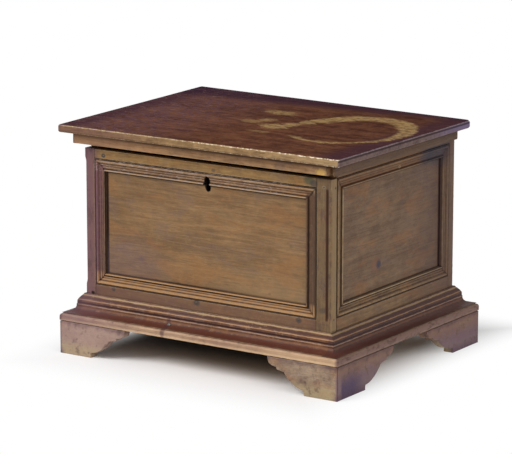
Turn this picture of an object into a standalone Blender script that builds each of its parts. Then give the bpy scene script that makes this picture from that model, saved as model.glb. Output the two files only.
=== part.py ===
"""A small walnut coffer, joined and panelled, on a moulded plinth with bracket feet.

The lid turns on two iron butt hinges at the back, and an iron lock behind the front
panel has a sliding bolt that catches a staple under the lid. Lengths are in metres.
X runs to the right along the front, the front faces -Y, and Z points up. The origin is
on the floor, under the middle of the coffer.
"""

import math

import bmesh
import bpy
from mathutils import Matrix, Vector

# Clearances
GAP = 0.0003                    # between two faces that touch
OVERRUN = 0.002                 # how far a cutter runs past the face that it cuts
MITRE_PULL_SHARE = 0.75         # of GAP, taken off each side of a mitre

# Carcass
BODY_WIDTH = 0.400
BODY_DEPTH = 0.317
FRONT_RIM_HEIGHT = 0.231        # plinth top to the top edge of the front rail
SIDE_RIM_RISE = 0.0062          # the side rails stand this much above the front rail
FRAME_THICKNESS = 0.013         # posts and rails, through the wall
LEFT_POST_WIDTH = 0.0158
RIGHT_POST_WIDTH = 0.0235
BACK_POST_WIDTH = 0.0220
BACK_POST_DEPTH = 0.0138
FRONT_TOP_RAIL_HEIGHT = 0.0130
FRONT_BOTTOM_RAIL_HEIGHT = 0.0410
SIDE_TOP_RAIL_HEIGHT = 0.0142
SIDE_TOP_RAIL_FACE = 0.0062     # of that height shows above the moulding
SIDE_BOTTOM_RAIL_HEIGHT = 0.0432
BACK_RAIL_HEIGHT = 0.0470
TENON_LENGTH = 0.0070
TENON_THICKNESS = 0.0050
TENON_SHOULDER = 0.0020         # above and below each tenon
CORNER_BEAD_RADIUS = 0.0034
CORNER_BEAD_SINK = 0.0002       # of the right bead, under the face of its post
CORNER_QUIRK_WIDTH = 0.0018
CORNER_QUIRK_DEPTH = 0.0014
BEAD_STEPS = 7

# Panels and their planted mouldings
PANEL_THICKNESS = 0.0060
PANEL_TONGUE = 0.0035           # how far a panel enters its grooves
PANEL_RECESS = 0.0047           # panel face behind the face of the frame
MOULDING_WIDTH = 0.0172
MOULDING_PROUD = 0.0005         # above the face of the frame
BACK_BOARD_THICKNESS = 0.0090
BOTTOM_BOARD_THICKNESS = 0.0080
PANEL_MOULDING_SHARES = (
    (0.000, 0.00), (0.000, 0.90), (0.010, 0.94), (0.045, 0.94), (0.055, 0.74),
    (0.095, 0.74), (0.110, 0.96), (0.140, 1.00), (0.240, 1.00), (0.280, 0.94),
    (0.300, 0.80), (0.340, 0.60), (0.370, 0.50), (0.500, 0.50), (0.530, 0.32),
    (0.600, 0.30), (0.630, 0.36), (0.730, 0.38), (0.750, 0.24), (0.800, 0.22),
    (0.820, 0.70), (0.850, 0.86), (0.890, 0.92), (0.930, 0.88), (0.955, 0.70),
    (0.965, 0.10), (1.000, 0.06), (1.000, 0.00),
)

# Keyhole, without an escutcheon
KEYHOLE_OFFSET = 0.0010         # to the right of the middle
KEYHOLE_DROP = 0.0220           # front rim to the middle of the round part
KEYHOLE_ROUND_RADIUS = 0.0040
KEYHOLE_SLOT_WIDTH = 0.0058
KEYHOLE_HEIGHT = 0.0212
KEYHOLE_LEAN = 0.0013           # of the foot, to the right
KEYHOLE_ROUND_STEPS = 12
KEYHOLE_FOOT_STEPS = 6

# Plinth, base moulding and feet
FOOT_HEIGHT = 0.0460
FOOT_SETBACK = 0.0005           # behind the nose of the plinth
BRACKET_THICKNESS = 0.0150
FRONT_BRACKET_LENGTH = 0.1100
FRONT_BRACKET_TOE = 0.0520
SIDE_BRACKET_LENGTH = 0.1420
SIDE_BRACKET_TOE = 0.0700
PLINTH_THICKNESS = 0.0110
PLINTH_PROJECTION = 0.0272
PLINTH_INSET = 0.0320           # how far the plinth runs in under the carcass
PLINTH_NOSE_RADIUS = 0.0045
PLINTH_NOSE_STEPS = 4
BASE_MOULDING_HEIGHT = 0.0270
BASE_MOULDING_PROJECTION = 0.0246
COVE_STEPS = 5
BASE_MOULDING_TOP_SHARES = (
    (0.00, 1.00), (0.09, 1.00), (0.11, 0.94), (0.18, 0.88), (0.28, 0.78), (0.36, 0.67),
    (0.38, 0.62), (0.38, 0.47), (0.41, 0.45), (0.41, 0.34),
)
COVE_CONTROL_SHARE = (0.45, 0.07)
COVE_FOOT_SHARE = (0.96, 0.03)
BRACKET_TOE_SHARES = ((0.00, 0.00), (0.00, 0.15))
BRACKET_CURVE_CONTROL_SHARE = (0.30, 0.17)
BRACKET_CURVE_END_SHARE = (0.54, 0.60)
BRACKET_STEP_SHARES = (
    (0.74, 0.65), (0.75, 0.72), (0.86, 0.74), (0.95, 0.80), (0.98, 0.89), (1.00, 1.00),
)
BRACKET_STEPS = 6

# Lid
LID_THICKNESS = 0.0107
LID_OVERHANG = 0.0268           # past the carcass at the front and sides
LID_CORNER_RADIUS = 0.0035
LID_EDGE_ROUNDING = 0.0012
LID_WARP = 0.0040               # the back left corner of the top stands this much higher
STRIP_HEIGHT = 0.0165
STRIP_PROJECTION = 0.0115
STRIP_SETBACK = 0.0004          # inner face of the frame to the inner face of a strip
STRIP_BREAK = 0.0010           # the broken front corner ends this far past the carcass

# Hinges
HINGE_INSET = 0.0850            # side of the carcass to the middle of a hinge
HINGE_WIDTH = 0.0400
LEAF_THICKNESS = 0.0014
LEAF_DROP = 0.0220              # of the leaf on the back board
LEAF_REACH = 0.0100             # of the leaf under the lid, forward of the axis
KNUCKLE_RADIUS = 0.0022
HINGE_PIN_RADIUS = 0.0011
KNUCKLE_COUNT = 3
ROUND_STEPS = 12

# Lock
LOCK_WIDTH = 0.0800
LOCK_HEIGHT = 0.0460
LOCK_DEPTH = 0.0170
LOCK_WALL = 0.0015
LOCK_DROP = 0.0020              # front rim to the top of the case
LOCK_EAR = 0.0090               # ears that take the nails
BOLT_LENGTH = 0.0340
BOLT_HEIGHT = 0.0060
BOLT_THICKNESS = 0.0040
BOLT_DROP = 0.0080              # top of the case to the middle of the bolt
BOLT_CLEARANCE = 0.0010         # drawn bolt to the staple
BOLT_LIP = 0.0020               # of the guide, in front of the bolt
KEY_PIN_RADIUS = 0.0014
KEY_CLEARANCE = 0.0090          # the bolt guide keeps this far from the key pin
SPRING_LENGTH = 0.0220
SPRING_THICKNESS = 0.0005
SPRING_WIDTH = 0.0035
SPRING_STEPS = 8
STAPLE_THICKNESS = 0.0024
STAPLE_WIDTH = 0.0120
STAPLE_EYE_CLEARANCE = 0.0012   # round the bolt
STAPLE_FOOT = 0.0026            # iron below the eye
STAPLE_PLATE_WIDTH = 0.0300
STAPLE_PLATE_DEPTH = 0.0150
STAPLE_PLATE_THICKNESS = 0.0016

LID_PIECES = ("lid_board", "lid_strip_front", "lid_strip_left", "lid_strip_right",
              "lid_hinge_leaf_left", "lid_hinge_leaf_right", "lock_staple")
SMOOTH_BELOW_DEGREES = 40       # corners up to this angle are shaded as one round face

# Nail heads on the iron
NAIL_RADIUS = 0.0016
NAIL_HEAD_HEIGHT = 0.0006
NAIL_STEPS = 8
HINGE_NAIL_SHARES = (-0.33, 0.0, 0.33)              # of the hinge's width
HINGE_NAIL_DROP_SHARE = 0.60                        # of the leaf's drop, from the axis

# Places worked out from the sizes
HALF_WIDTH = BODY_WIDTH / 2
HALF_DEPTH = BODY_DEPTH / 2
FRONT = -HALF_DEPTH
BACK = HALF_DEPTH
PLINTH_TOP = FOOT_HEIGHT + PLINTH_THICKNESS
CARCASS_BOTTOM = PLINTH_TOP + GAP
FRONT_RIM = PLINTH_TOP + FRONT_RIM_HEIGHT
SIDE_RIM = FRONT_RIM + SIDE_RIM_RISE
LID_UNDERSIDE = SIDE_RIM + GAP + STRIP_HEIGHT
LID_TOP = LID_UNDERSIDE + LID_THICKNESS
STRIP_BEARING = FRAME_THICKNESS - STRIP_SETBACK
INNER_FRONT = FRONT + FRAME_THICKNESS
INNER_SIDE = HALF_WIDTH - FRAME_THICKNESS
BOARD_BACK = BACK - BACK_POST_DEPTH - GAP
BOARD_FRONT = BOARD_BACK - BACK_BOARD_THICKNESS
OPENING_LEFT = -HALF_WIDTH + LEFT_POST_WIDTH
OPENING_RIGHT = HALF_WIDTH - RIGHT_POST_WIDTH
OPENING_BOTTOM = PLINTH_TOP + FRONT_BOTTOM_RAIL_HEIGHT
OPENING_TOP = FRONT_RIM - FRONT_TOP_RAIL_HEIGHT
SIDE_OPENING_BOTTOM = PLINTH_TOP + SIDE_BOTTOM_RAIL_HEIGHT
SIDE_OPENING_TOP = SIDE_RIM - SIDE_TOP_RAIL_HEIGHT
SIDE_MOULDING_TOP = SIDE_RIM - SIDE_TOP_RAIL_FACE
SIDE_OPENING_BACK = BACK - BACK_POST_DEPTH
HINGE_AXIS_Y = BOARD_BACK + GAP + KNUCKLE_RADIUS
HINGE_AXIS_Z = LID_UNDERSIDE - GAP - KNUCKLE_RADIUS
KEY_X = KEYHOLE_OFFSET
KEY_Z = FRONT_RIM - KEYHOLE_DROP
LOCK_FRONT = INNER_FRONT + GAP
LOCK_BACK = LOCK_FRONT + LOCK_DEPTH
LOCK_TOP = FRONT_RIM - LOCK_DROP
BOLT_Z = LOCK_TOP - BOLT_DROP
STAPLE_Y = LOCK_FRONT + LOCK_DEPTH / 2
BOLT_START = KEY_X + STAPLE_THICKNESS / 2 + BOLT_CLEARANCE

# Colour, roughness and metallic of each material
MATERIALS = {
    "walnut_front": ((0.250, 0.140, 0.066), 0.42, 0.0),
    "walnut_side": ((0.155, 0.098, 0.058), 0.48, 0.0),
    "walnut_lid": ((0.105, 0.044, 0.030), 0.36, 0.0),
    "walnut_base": ((0.190, 0.090, 0.052), 0.45, 0.0),
    "pine_inside": ((0.360, 0.230, 0.120), 0.70, 0.0),
    "old_iron": ((0.060, 0.055, 0.052), 0.55, 0.85),
}


def clear_scene():
    """Start from an empty file."""
    for item in list(bpy.data.objects):
        bpy.data.objects.remove(item, do_unlink=True)


def material(name):
    """The named Principled material, made on first use."""
    found = bpy.data.materials.get(name)
    if found:
        return found
    colour, roughness, metallic = MATERIALS[name]
    found = bpy.data.materials.new(name)
    found.use_nodes = True
    shader = found.node_tree.nodes["Principled BSDF"]
    shader.inputs["Base Color"].default_value = (*colour, 1.0)
    shader.inputs["Roughness"].default_value = roughness
    shader.inputs["Metallic"].default_value = metallic
    return found


def finish(name, bm, look, location=(0, 0, 0), turn=(0, 0, 0)):
    """Turn a bmesh into a named object at its place."""
    bmesh.ops.recalc_face_normals(bm, faces=bm.faces)
    mesh = bpy.data.meshes.new(name)
    bm.to_mesh(mesh)
    bm.free()
    piece = bpy.data.objects.new(name, mesh)
    bpy.context.scene.collection.objects.link(piece)
    piece.location = location
    piece.rotation_euler = turn
    if look:
        mesh.materials.append(material(look))
    return piece


def block(name, low, high, look=None):
    """A square-edged block between two corners, with its origin in its middle."""
    low, high = Vector(low), Vector(high)
    bm = bmesh.new()
    bmesh.ops.create_cube(bm, size=1)
    bmesh.ops.scale(bm, vec=high - low, verts=bm.verts)
    return finish(name, bm, look, (low + high) / 2)


def rod(name, start, end, radius, look=None, steps=ROUND_STEPS):
    """A round rod between two points."""
    start, end = Vector(start), Vector(end)
    along = end - start
    bm = bmesh.new()
    bmesh.ops.create_cone(bm, cap_ends=True, segments=steps, radius1=radius,
                          radius2=radius, depth=along.length)
    turn = along.to_track_quat("Z", "Y").to_matrix()
    bmesh.ops.rotate(bm, matrix=turn, verts=bm.verts)
    return finish(name, bm, look, (start + end) / 2)


def apply_modifiers(piece):
    """Keep the shape that the modifiers make, and drop the modifiers."""
    graph = bpy.context.evaluated_depsgraph_get()
    mesh = bpy.data.meshes.new_from_object(piece.evaluated_get(graph))
    piece.modifiers.clear()
    piece.data = mesh


def combine(piece, tool, operation):
    """Cut a tool from a piece or unite it with the piece, and remove the tool."""
    tool.hide_render = True
    tool.display_type = "WIRE"
    step = piece.modifiers.new(operation.lower(), "BOOLEAN")
    step.operation = operation
    step.object = tool
    apply_modifiers(piece)
    bpy.data.objects.remove(tool, do_unlink=True)


def cut_block(piece, low, high):
    """Cut a square hole, groove or mortise."""
    combine(piece, block("cutter", low, high), "DIFFERENCE")


def add_block(piece, low, high):
    """Unite a piece with a block that overlaps it."""
    combine(piece, block("addition", low, high), "UNION")


def prism(name, rings, look, location=(0, 0, 0), turn=(0, 0, 0)):
    """A solid between two matching rings of points."""
    bm = bmesh.new()
    first, last = ([bm.verts.new(point) for point in ring] for ring in rings)
    bm.faces.new(first)
    bm.faces.new(list(reversed(last)))
    for here in range(len(first)):
        after = (here + 1) % len(first)
        bm.faces.new((first[here], last[here], last[after], first[after]))
    return finish(name, bm, look, location, turn)


def arc(centre, radius, start, end, steps):
    """Points along a circular arc, angles in degrees."""
    points = []
    for step in range(steps + 1):
        angle = math.radians(start + (end - start) * step / steps)
        points.append((centre[0] + radius * math.cos(angle),
                       centre[1] + radius * math.sin(angle)))
    return points


def bend(start, control, end, steps):
    """Points along a quadratic curve, after its start."""
    points = []
    for step in range(1, steps + 1):
        t = step / steps
        weights = ((1 - t) ** 2, 2 * t * (1 - t), t ** 2)
        points.append(tuple(weights[0] * a + weights[1] * b + weights[2] * c
                            for a, b, c in zip(start, control, end)))
    return points


def scaled(shares, width, height):
    """Points of an outline from shares of its width and height."""
    return [(across * width, rise * height) for across, rise in shares]


def add_nail(piece, place, direction):
    """Unite a piece with the head of a nail that holds it, standing on one of its faces."""
    place, direction = Vector(place), Vector(direction)
    head = rod("nail", place - direction * NAIL_HEAD_HEIGHT,
               place + direction * NAIL_HEAD_HEIGHT, NAIL_RADIUS, steps=NAIL_STEPS)
    combine(piece, head, "UNION")


# Posts

def corner_outline(quirked):
    """What the corner of a front post loses: all outside a bead, and a quirk beside it."""
    radius, depth = CORNER_BEAD_RADIUS, CORNER_QUIRK_DEPTH
    if not quirked:
        bead = arc((radius, radius), radius, 180, 270, BEAD_STEPS)
        return [(-OVERRUN, radius)] + bead + [(radius, -OVERRUN), (-OVERRUN, -OVERRUN)]
    centre = radius + CORNER_BEAD_SINK
    meet = math.degrees(math.asin((centre - depth) / radius))
    bead = arc((radius, centre), radius, 180, 360 - meet, BEAD_STEPS)
    quirk = bead[-1][0] + CORNER_QUIRK_WIDTH
    return ([(-OVERRUN, centre)] + bead
            + [(quirk, depth), (quirk, -OVERRUN), (-OVERRUN, -OVERRUN)])


def tenon_span(low, high):
    """Bottom and top of the tenon on a rail."""
    return low + TENON_SHOULDER, high - TENON_SHOULDER


def front_rail_spans():
    """Bottom and top of each front rail."""
    return {"bottom": (CARCASS_BOTTOM, OPENING_BOTTOM), "top": (OPENING_TOP, FRONT_RIM)}


def side_rail_spans():
    """Bottom and top of each side rail."""
    return {"bottom": (CARCASS_BOTTOM, SIDE_OPENING_BOTTOM),
            "top": (SIDE_OPENING_TOP, SIDE_RIM)}


def tenon_depths(outer, inward):
    """The two faces of a tenon, in the middle of a frame whose outer face is given."""
    middle = outer + inward * FRAME_THICKNESS / 2
    return middle - TENON_THICKNESS / 2, middle + TENON_THICKNESS / 2


def cut_side_joints(post, side, post_face, into):
    """Mortises and a panel groove for the side frame, in the face that meets it."""
    near, far = sorted((side * value for value in tenon_depths(HALF_WIDTH, -1)))
    start, end = sorted((post_face - into * OVERRUN, post_face + into * (TENON_LENGTH + GAP)))
    for low, high in side_rail_spans().values():
        bottom, top = tenon_span(low, high)
        cut_block(post, (near - GAP, start, bottom - GAP), (far + GAP, end, top + GAP))
    outer = HALF_WIDTH - PANEL_RECESS + GAP
    inner = outer - PANEL_THICKNESS - 2 * GAP
    near, far = sorted((side * inner, side * outer))
    start, end = sorted((post_face - into * OVERRUN, post_face + into * (PANEL_TONGUE + GAP)))
    cut_block(post, (near, start, SIDE_OPENING_BOTTOM - PANEL_TONGUE - GAP),
              (far, end, SIDE_OPENING_TOP + PANEL_TONGUE + GAP))


def front_post(name, side, width):
    """A front post: its corner is beaded between stops, and it holds rails and panels."""
    face = side * (HALF_WIDTH - width)
    near, far = sorted((side * HALF_WIDTH, face))
    post = block(name, (near, FRONT, CARCASS_BOTTOM), (far, INNER_FRONT, FRONT_RIM),
                 "walnut_front")
    rings = [[(-side * x, y, z) for x, y in corner_outline(side > 0)]
             for z in (OPENING_BOTTOM, OPENING_TOP)]
    combine(post, prism("corner_cutter", rings, None, (side * HALF_WIDTH, FRONT, 0)),
            "DIFFERENCE")
    near, far = sorted((face - side * OVERRUN, face + side * (TENON_LENGTH + GAP)))
    tenon_front, tenon_back = tenon_depths(FRONT, 1)
    for low, high in front_rail_spans().values():
        bottom, top = tenon_span(low, high)
        cut_block(post, (near, tenon_front - GAP, bottom - GAP),
                  (far, tenon_back + GAP, top + GAP))
    near, far = sorted((face - side * OVERRUN, face + side * (PANEL_TONGUE + GAP)))
    groove = FRONT + PANEL_RECESS
    cut_block(post, (near, groove - GAP, OPENING_BOTTOM - PANEL_TONGUE - GAP),
              (far, groove + PANEL_THICKNESS + GAP, OPENING_TOP + PANEL_TONGUE + GAP))
    cut_side_joints(post, side, INNER_FRONT, -1)
    return post


def back_post(name, side):
    """A back post with mortises for the side rails and the back rail."""
    near, far = sorted((side * HALF_WIDTH, side * (HALF_WIDTH - BACK_POST_WIDTH)))
    post = block(name, (near, SIDE_OPENING_BACK, CARCASS_BOTTOM), (far, BACK, SIDE_RIM),
                 "walnut_side")
    cut_side_joints(post, side, SIDE_OPENING_BACK, 1)
    face = side * (HALF_WIDTH - BACK_POST_WIDTH)
    near, far = sorted((face - side * OVERRUN, face + side * (TENON_LENGTH + GAP)))
    rear = BACK - (BACK_POST_DEPTH - TENON_THICKNESS) / 2
    bottom, top = tenon_span(CARCASS_BOTTOM, PLINTH_TOP + BACK_RAIL_HEIGHT)
    cut_block(post, (near, rear - TENON_THICKNESS - GAP, bottom - GAP),
              (far, rear + GAP, top + GAP))
    return post


# Rails and panels

def front_rail(place, low, high):
    """A front rail with a tenon at each end and a groove for the panel."""
    rail = block(f"front_{place}_rail", (OPENING_LEFT + GAP, FRONT, low),
                 (OPENING_RIGHT - GAP, INNER_FRONT, high), "walnut_front")
    bottom, top = tenon_span(low, high)
    tenon_front, tenon_back = tenon_depths(FRONT, 1)
    add_block(rail, (OPENING_LEFT - TENON_LENGTH + GAP, tenon_front, bottom),
              (OPENING_LEFT + OVERRUN, tenon_back, top))
    add_block(rail, (OPENING_RIGHT - OVERRUN, tenon_front, bottom),
              (OPENING_RIGHT + TENON_LENGTH - GAP, tenon_back, top))
    groove = FRONT + PANEL_RECESS
    reach = PANEL_TONGUE + GAP
    floor, ceiling = (high - reach, high + OVERRUN) if place == "bottom" \
        else (low - OVERRUN, low + reach)
    cut_block(rail, (OPENING_LEFT - TENON_LENGTH, groove - GAP, floor),
              (OPENING_RIGHT + TENON_LENGTH, groove + PANEL_THICKNESS + GAP, ceiling))
    return rail


def side_rail(side, hand, place, low, high):
    """A side rail with a tenon at each end and a groove for the panel."""
    near, far = sorted((side * HALF_WIDTH, side * INNER_SIDE))
    start, end = INNER_FRONT + GAP, SIDE_OPENING_BACK - GAP
    rail = block(f"{hand}_{place}_rail", (near, start, low), (far, end, high), "walnut_side")
    bottom, top = tenon_span(low, high)
    near, far = sorted(side * value for value in tenon_depths(HALF_WIDTH, -1))
    add_block(rail, (near, INNER_FRONT - TENON_LENGTH + GAP, bottom),
              (far, start + OVERRUN, top))
    add_block(rail, (near, end - OVERRUN, bottom),
              (far, SIDE_OPENING_BACK + TENON_LENGTH - GAP, top))
    outer = HALF_WIDTH - PANEL_RECESS + GAP
    near, far = sorted((side * outer, side * (outer - PANEL_THICKNESS - 2 * GAP)))
    reach = PANEL_TONGUE + GAP
    floor, ceiling = (high - reach, high + OVERRUN) if place == "bottom" \
        else (low - OVERRUN, low + reach)
    cut_block(rail, (near, INNER_FRONT - TENON_LENGTH, floor),
              (far, SIDE_OPENING_BACK + TENON_LENGTH, ceiling))
    if place == "top":
        near, far = sorted((side * (HALF_WIDTH - PANEL_RECESS), side * (HALF_WIDTH + OVERRUN)))
        cut_block(rail, (near, INNER_FRONT, low - OVERRUN),
                  (far, SIDE_OPENING_BACK, SIDE_MOULDING_TOP))
    return rail


def keyhole_cutter(front, back):
    """A prism through the front: a round part over a slot with a round foot."""
    radius, half = KEYHOLE_ROUND_RADIUS, KEYHOLE_SLOT_WIDTH / 2
    meet = math.degrees(math.asin(half / radius))
    outline = arc((0, 0), radius, meet - 90, 270 - meet, KEYHOLE_ROUND_STEPS)
    foot = radius + half - KEYHOLE_HEIGHT
    outline += arc((KEYHOLE_LEAN, foot), half, 180, 360, KEYHOLE_FOOT_STEPS)
    rings = [[(x, y, z) for x, z in outline] for y in (front, back)]
    return prism("keyhole_cutter", rings, None, (KEY_X, 0, KEY_Z))


def cut_keyhole(piece):
    """Cut the keyhole through a front piece."""
    tool = keyhole_cutter(FRONT - OVERRUN, INNER_FRONT + OVERRUN)
    combine(piece, tool, "DIFFERENCE")


def front_panel():
    """The front panel in its grooves, with the keyhole."""
    face = FRONT + PANEL_RECESS
    panel = block("front_panel",
                  (OPENING_LEFT - PANEL_TONGUE, face, OPENING_BOTTOM - PANEL_TONGUE),
                  (OPENING_RIGHT + PANEL_TONGUE, face + PANEL_THICKNESS,
                   OPENING_TOP + PANEL_TONGUE), "walnut_front")
    cut_keyhole(panel)
    return panel


def side_panel(side, hand):
    """A side panel in its grooves."""
    outer = HALF_WIDTH - PANEL_RECESS
    near, far = sorted((side * outer, side * (outer - PANEL_THICKNESS)))
    return block(f"{hand}_panel",
                 (near, INNER_FRONT - PANEL_TONGUE, SIDE_OPENING_BOTTOM - PANEL_TONGUE),
                 (far, SIDE_OPENING_BACK + PANEL_TONGUE, SIDE_OPENING_TOP + PANEL_TONGUE),
                 "walnut_side")


def panel_mouldings(prefix, centre, size, quarter, look):
    """Four mitred mouldings planted round a panel, which faces -Y before its quarter turns."""
    height = PANEL_RECESS + MOULDING_PROUD - GAP
    outline = scaled(PANEL_MOULDING_SHARES, MOULDING_WIDTH, height)
    pull = MITRE_PULL_SHARE * GAP
    facing = Matrix.Rotation(quarter * math.pi / 2, 4, "Z")
    made = {}
    for place, angle, along, away in (("bottom", 0, size[0], size[1]),
                                      ("top", 180, size[0], size[1]),
                                      ("left", 90, size[1], size[0]),
                                      ("right", -90, size[1], size[0])):
        half = along / 2 - GAP - pull
        start = GAP - away / 2
        rings = [[(end * (half - across), -rise, start + across) for across, rise in outline]
                 for end in (-1, 1)]
        strip = prism(f"{prefix}_moulding_{place}", rings, look)
        turn = facing @ Matrix.Rotation(math.radians(angle), 4, "Y")
        strip.rotation_euler = turn.to_euler()
        strip.location = centre
        made[place] = strip
    return made


def build_front():
    """Posts, rails, panel and mouldings of the front."""
    front_post("front_post_left", -1, LEFT_POST_WIDTH)
    front_post("front_post_right", 1, RIGHT_POST_WIDTH)
    for place, (low, high) in front_rail_spans().items():
        front_rail(place, low, high)
    front_panel()
    centre = ((OPENING_LEFT + OPENING_RIGHT) / 2, FRONT + PANEL_RECESS - GAP,
              (OPENING_BOTTOM + OPENING_TOP) / 2)
    size = (OPENING_RIGHT - OPENING_LEFT, OPENING_TOP - OPENING_BOTTOM)
    made = panel_mouldings("front", centre, size, 0, "walnut_front")
    cut_keyhole(made["top"])


def build_sides():
    """Rails, panel and mouldings of each side, and the back posts."""
    size = (SIDE_OPENING_BACK - INNER_FRONT, SIDE_MOULDING_TOP - SIDE_OPENING_BOTTOM)
    for side, hand in ((-1, "left"), (1, "right")):
        back_post(f"back_post_{hand}", side)
        for place, (low, high) in side_rail_spans().items():
            side_rail(side, hand, place, low, high)
        side_panel(side, hand)
        centre = (side * (HALF_WIDTH - PANEL_RECESS + GAP),
                  (INNER_FRONT + SIDE_OPENING_BACK) / 2,
                  (SIDE_OPENING_BOTTOM + SIDE_MOULDING_TOP) / 2)
        panel_mouldings(hand, centre, size, side, "walnut_side")


def build_back_and_bottom():
    """The back board inside the back posts, the rail below it and the bottom board."""
    inner = INNER_SIDE - GAP
    block("back_board", (-inner, BOARD_FRONT, CARCASS_BOTTOM),
          (inner, BOARD_BACK, LID_UNDERSIDE - LEAF_THICKNESS - 2 * GAP), "pine_inside")
    end = HALF_WIDTH - BACK_POST_WIDTH
    top = PLINTH_TOP + BACK_RAIL_HEIGHT
    rail = block("back_rail", (GAP - end, BOARD_BACK + GAP, CARCASS_BOTTOM),
                 (end - GAP, BACK, top), "walnut_side")
    low, high = tenon_span(CARCASS_BOTTOM, top)
    rear = BACK - (BACK_POST_DEPTH - TENON_THICKNESS) / 2
    for side in (-1, 1):
        near, far = sorted((side * (end - OVERRUN), side * (end + TENON_LENGTH - GAP)))
        add_block(rail, (near, rear - TENON_THICKNESS, low), (far, rear, high))
    block("bottom_board", (-inner, INNER_FRONT + GAP, CARCASS_BOTTOM),
          (inner, BOARD_FRONT - GAP, PLINTH_TOP + BOTTOM_BOARD_THICKNESS), "pine_inside")


# Plinth and feet

def base_runs():
    """Name, quarter turns, length and distance from the middle of each side of the base."""
    for quarter, name in enumerate(("front", "right", "back", "left")):
        length, depth = BODY_WIDTH, BODY_DEPTH
        if name in ("right", "left"):
            length, depth = depth, length
        yield name, quarter, length, depth / 2


def mitred_run(name, outline, quarter, length, distance, base, look):
    """A run of moulding round the carcass, mitred at both ends, across positive outwards."""
    pull = MITRE_PULL_SHARE * GAP
    rings = [[(end * (length / 2 + across - pull), -distance - across, base + rise)
              for across, rise in outline] for end in (-1, 1)]
    return prism(name, rings, look, turn=(0, 0, quarter * math.pi / 2))


def plinth_outline():
    """Section of the plinth with its rounded upper edge."""
    radius = PLINTH_NOSE_RADIUS
    centre = (PLINTH_PROJECTION - radius, PLINTH_THICKNESS - radius)
    return ([(-PLINTH_INSET, PLINTH_THICKNESS), (-PLINTH_INSET, GAP),
             (PLINTH_PROJECTION, GAP)]
            + arc(centre, radius, 0, 90, PLINTH_NOSE_STEPS))


def base_moulding_outline():
    """Section of the moulding over the plinth: fillet, ovolo, fillet and cove."""
    upper = scaled(BASE_MOULDING_TOP_SHARES, BASE_MOULDING_PROJECTION, BASE_MOULDING_HEIGHT)
    control, foot = scaled((COVE_CONTROL_SHARE, COVE_FOOT_SHARE),
                           BASE_MOULDING_PROJECTION, BASE_MOULDING_HEIGHT)
    cove = bend(upper[-1], control, foot, COVE_STEPS)
    outline = upper + cove + [(BASE_MOULDING_PROJECTION, foot[1]),
                              (BASE_MOULDING_PROJECTION, GAP), (0, GAP)]
    return [(max(across, GAP), rise) for across, rise in outline]


def bracket_outline(length, toe):
    """Face of a bracket foot, from the corner along the floor and up its curve."""
    span = length - toe
    shares = list(BRACKET_TOE_SHARES)
    shares += bend(shares[-1], BRACKET_CURVE_CONTROL_SHARE, BRACKET_CURVE_END_SHARE,
                   BRACKET_STEPS)
    shares += BRACKET_STEP_SHARES
    top = FOOT_HEIGHT
    return [(0, 0)] + [(toe + x, z) for x, z in scaled(shares, span, top)] + [(0, top)]


def bracket(name, quarter, end, length, toe, corner):
    """One bracket of a foot, mitred to its neighbour at the corner."""
    pull = MITRE_PULL_SHARE * GAP
    outline = bracket_outline(length, toe)
    along, out = corner
    rings = []
    for depth in (0, BRACKET_THICKNESS):
        rings.append([(end * (along - max(x, depth + pull)), depth - out, z)
                      for x, z in outline])
    return prism(name, rings, "walnut_base", turn=(0, 0, quarter * math.pi / 2))


def build_base():
    """Plinth, base moulding and bracket feet."""
    out = PLINTH_PROJECTION - FOOT_SETBACK
    for name, quarter, length, distance in base_runs():
        mitred_run(f"plinth_{name}", plinth_outline(), quarter, length, distance,
                   FOOT_HEIGHT, "walnut_base")
        mitred_run(f"base_moulding_{name}", base_moulding_outline(), quarter, length,
                   distance, PLINTH_TOP, "walnut_base")
        corner = (length / 2 + out, distance + out)
        sizes = (FRONT_BRACKET_LENGTH, FRONT_BRACKET_TOE)
        if name in ("right", "left"):
            sizes = (SIDE_BRACKET_LENGTH, SIDE_BRACKET_TOE)
        for end, hand in ((-1, "a"), (1, "b")):
            bracket(f"foot_{name}_{hand}", quarter, end, *sizes, corner)


# Lid

def lid_board():
    """The lid, with its back edge flush with the carcass."""
    board = block("lid_board", (-HALF_WIDTH - LID_OVERHANG, FRONT - LID_OVERHANG,
                                LID_UNDERSIDE),
                  (HALF_WIDTH + LID_OVERHANG, BACK, LID_TOP), "walnut_lid")
    bm = bmesh.new()
    bm.from_mesh(board.data)
    upright = [edge for edge in bm.edges
               if abs(edge.verts[0].co.z - edge.verts[1].co.z) > LID_THICKNESS / 2
               and edge.verts[0].co.y < 0]
    bmesh.ops.bevel(bm, geom=upright, offset=LID_CORNER_RADIUS, segments=3, profile=0.5,
                    affect="EDGES")
    for vert in bm.verts:
        if vert.co.z > 0:
            left = 1 / 2 - vert.co.x / (BODY_WIDTH + 2 * LID_OVERHANG)
            rear = 1 / 2 + vert.co.y / (BODY_DEPTH + LID_OVERHANG)
            vert.co.z += LID_WARP * left * rear
    top = [face for face in bm.faces if min(vert.co.z for vert in face.verts) > 0]
    bmesh.ops.triangulate(bm, faces=top)
    bm.to_mesh(board.data)
    bm.free()
    rounding = board.modifiers.new("worn_edges", "BEVEL")
    rounding.width = LID_EDGE_ROUNDING
    rounding.segments = 2
    rounding.limit_method = "ANGLE"
    rounding.angle_limit = math.radians(60)
    apply_modifiers(board)
    return board


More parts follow.
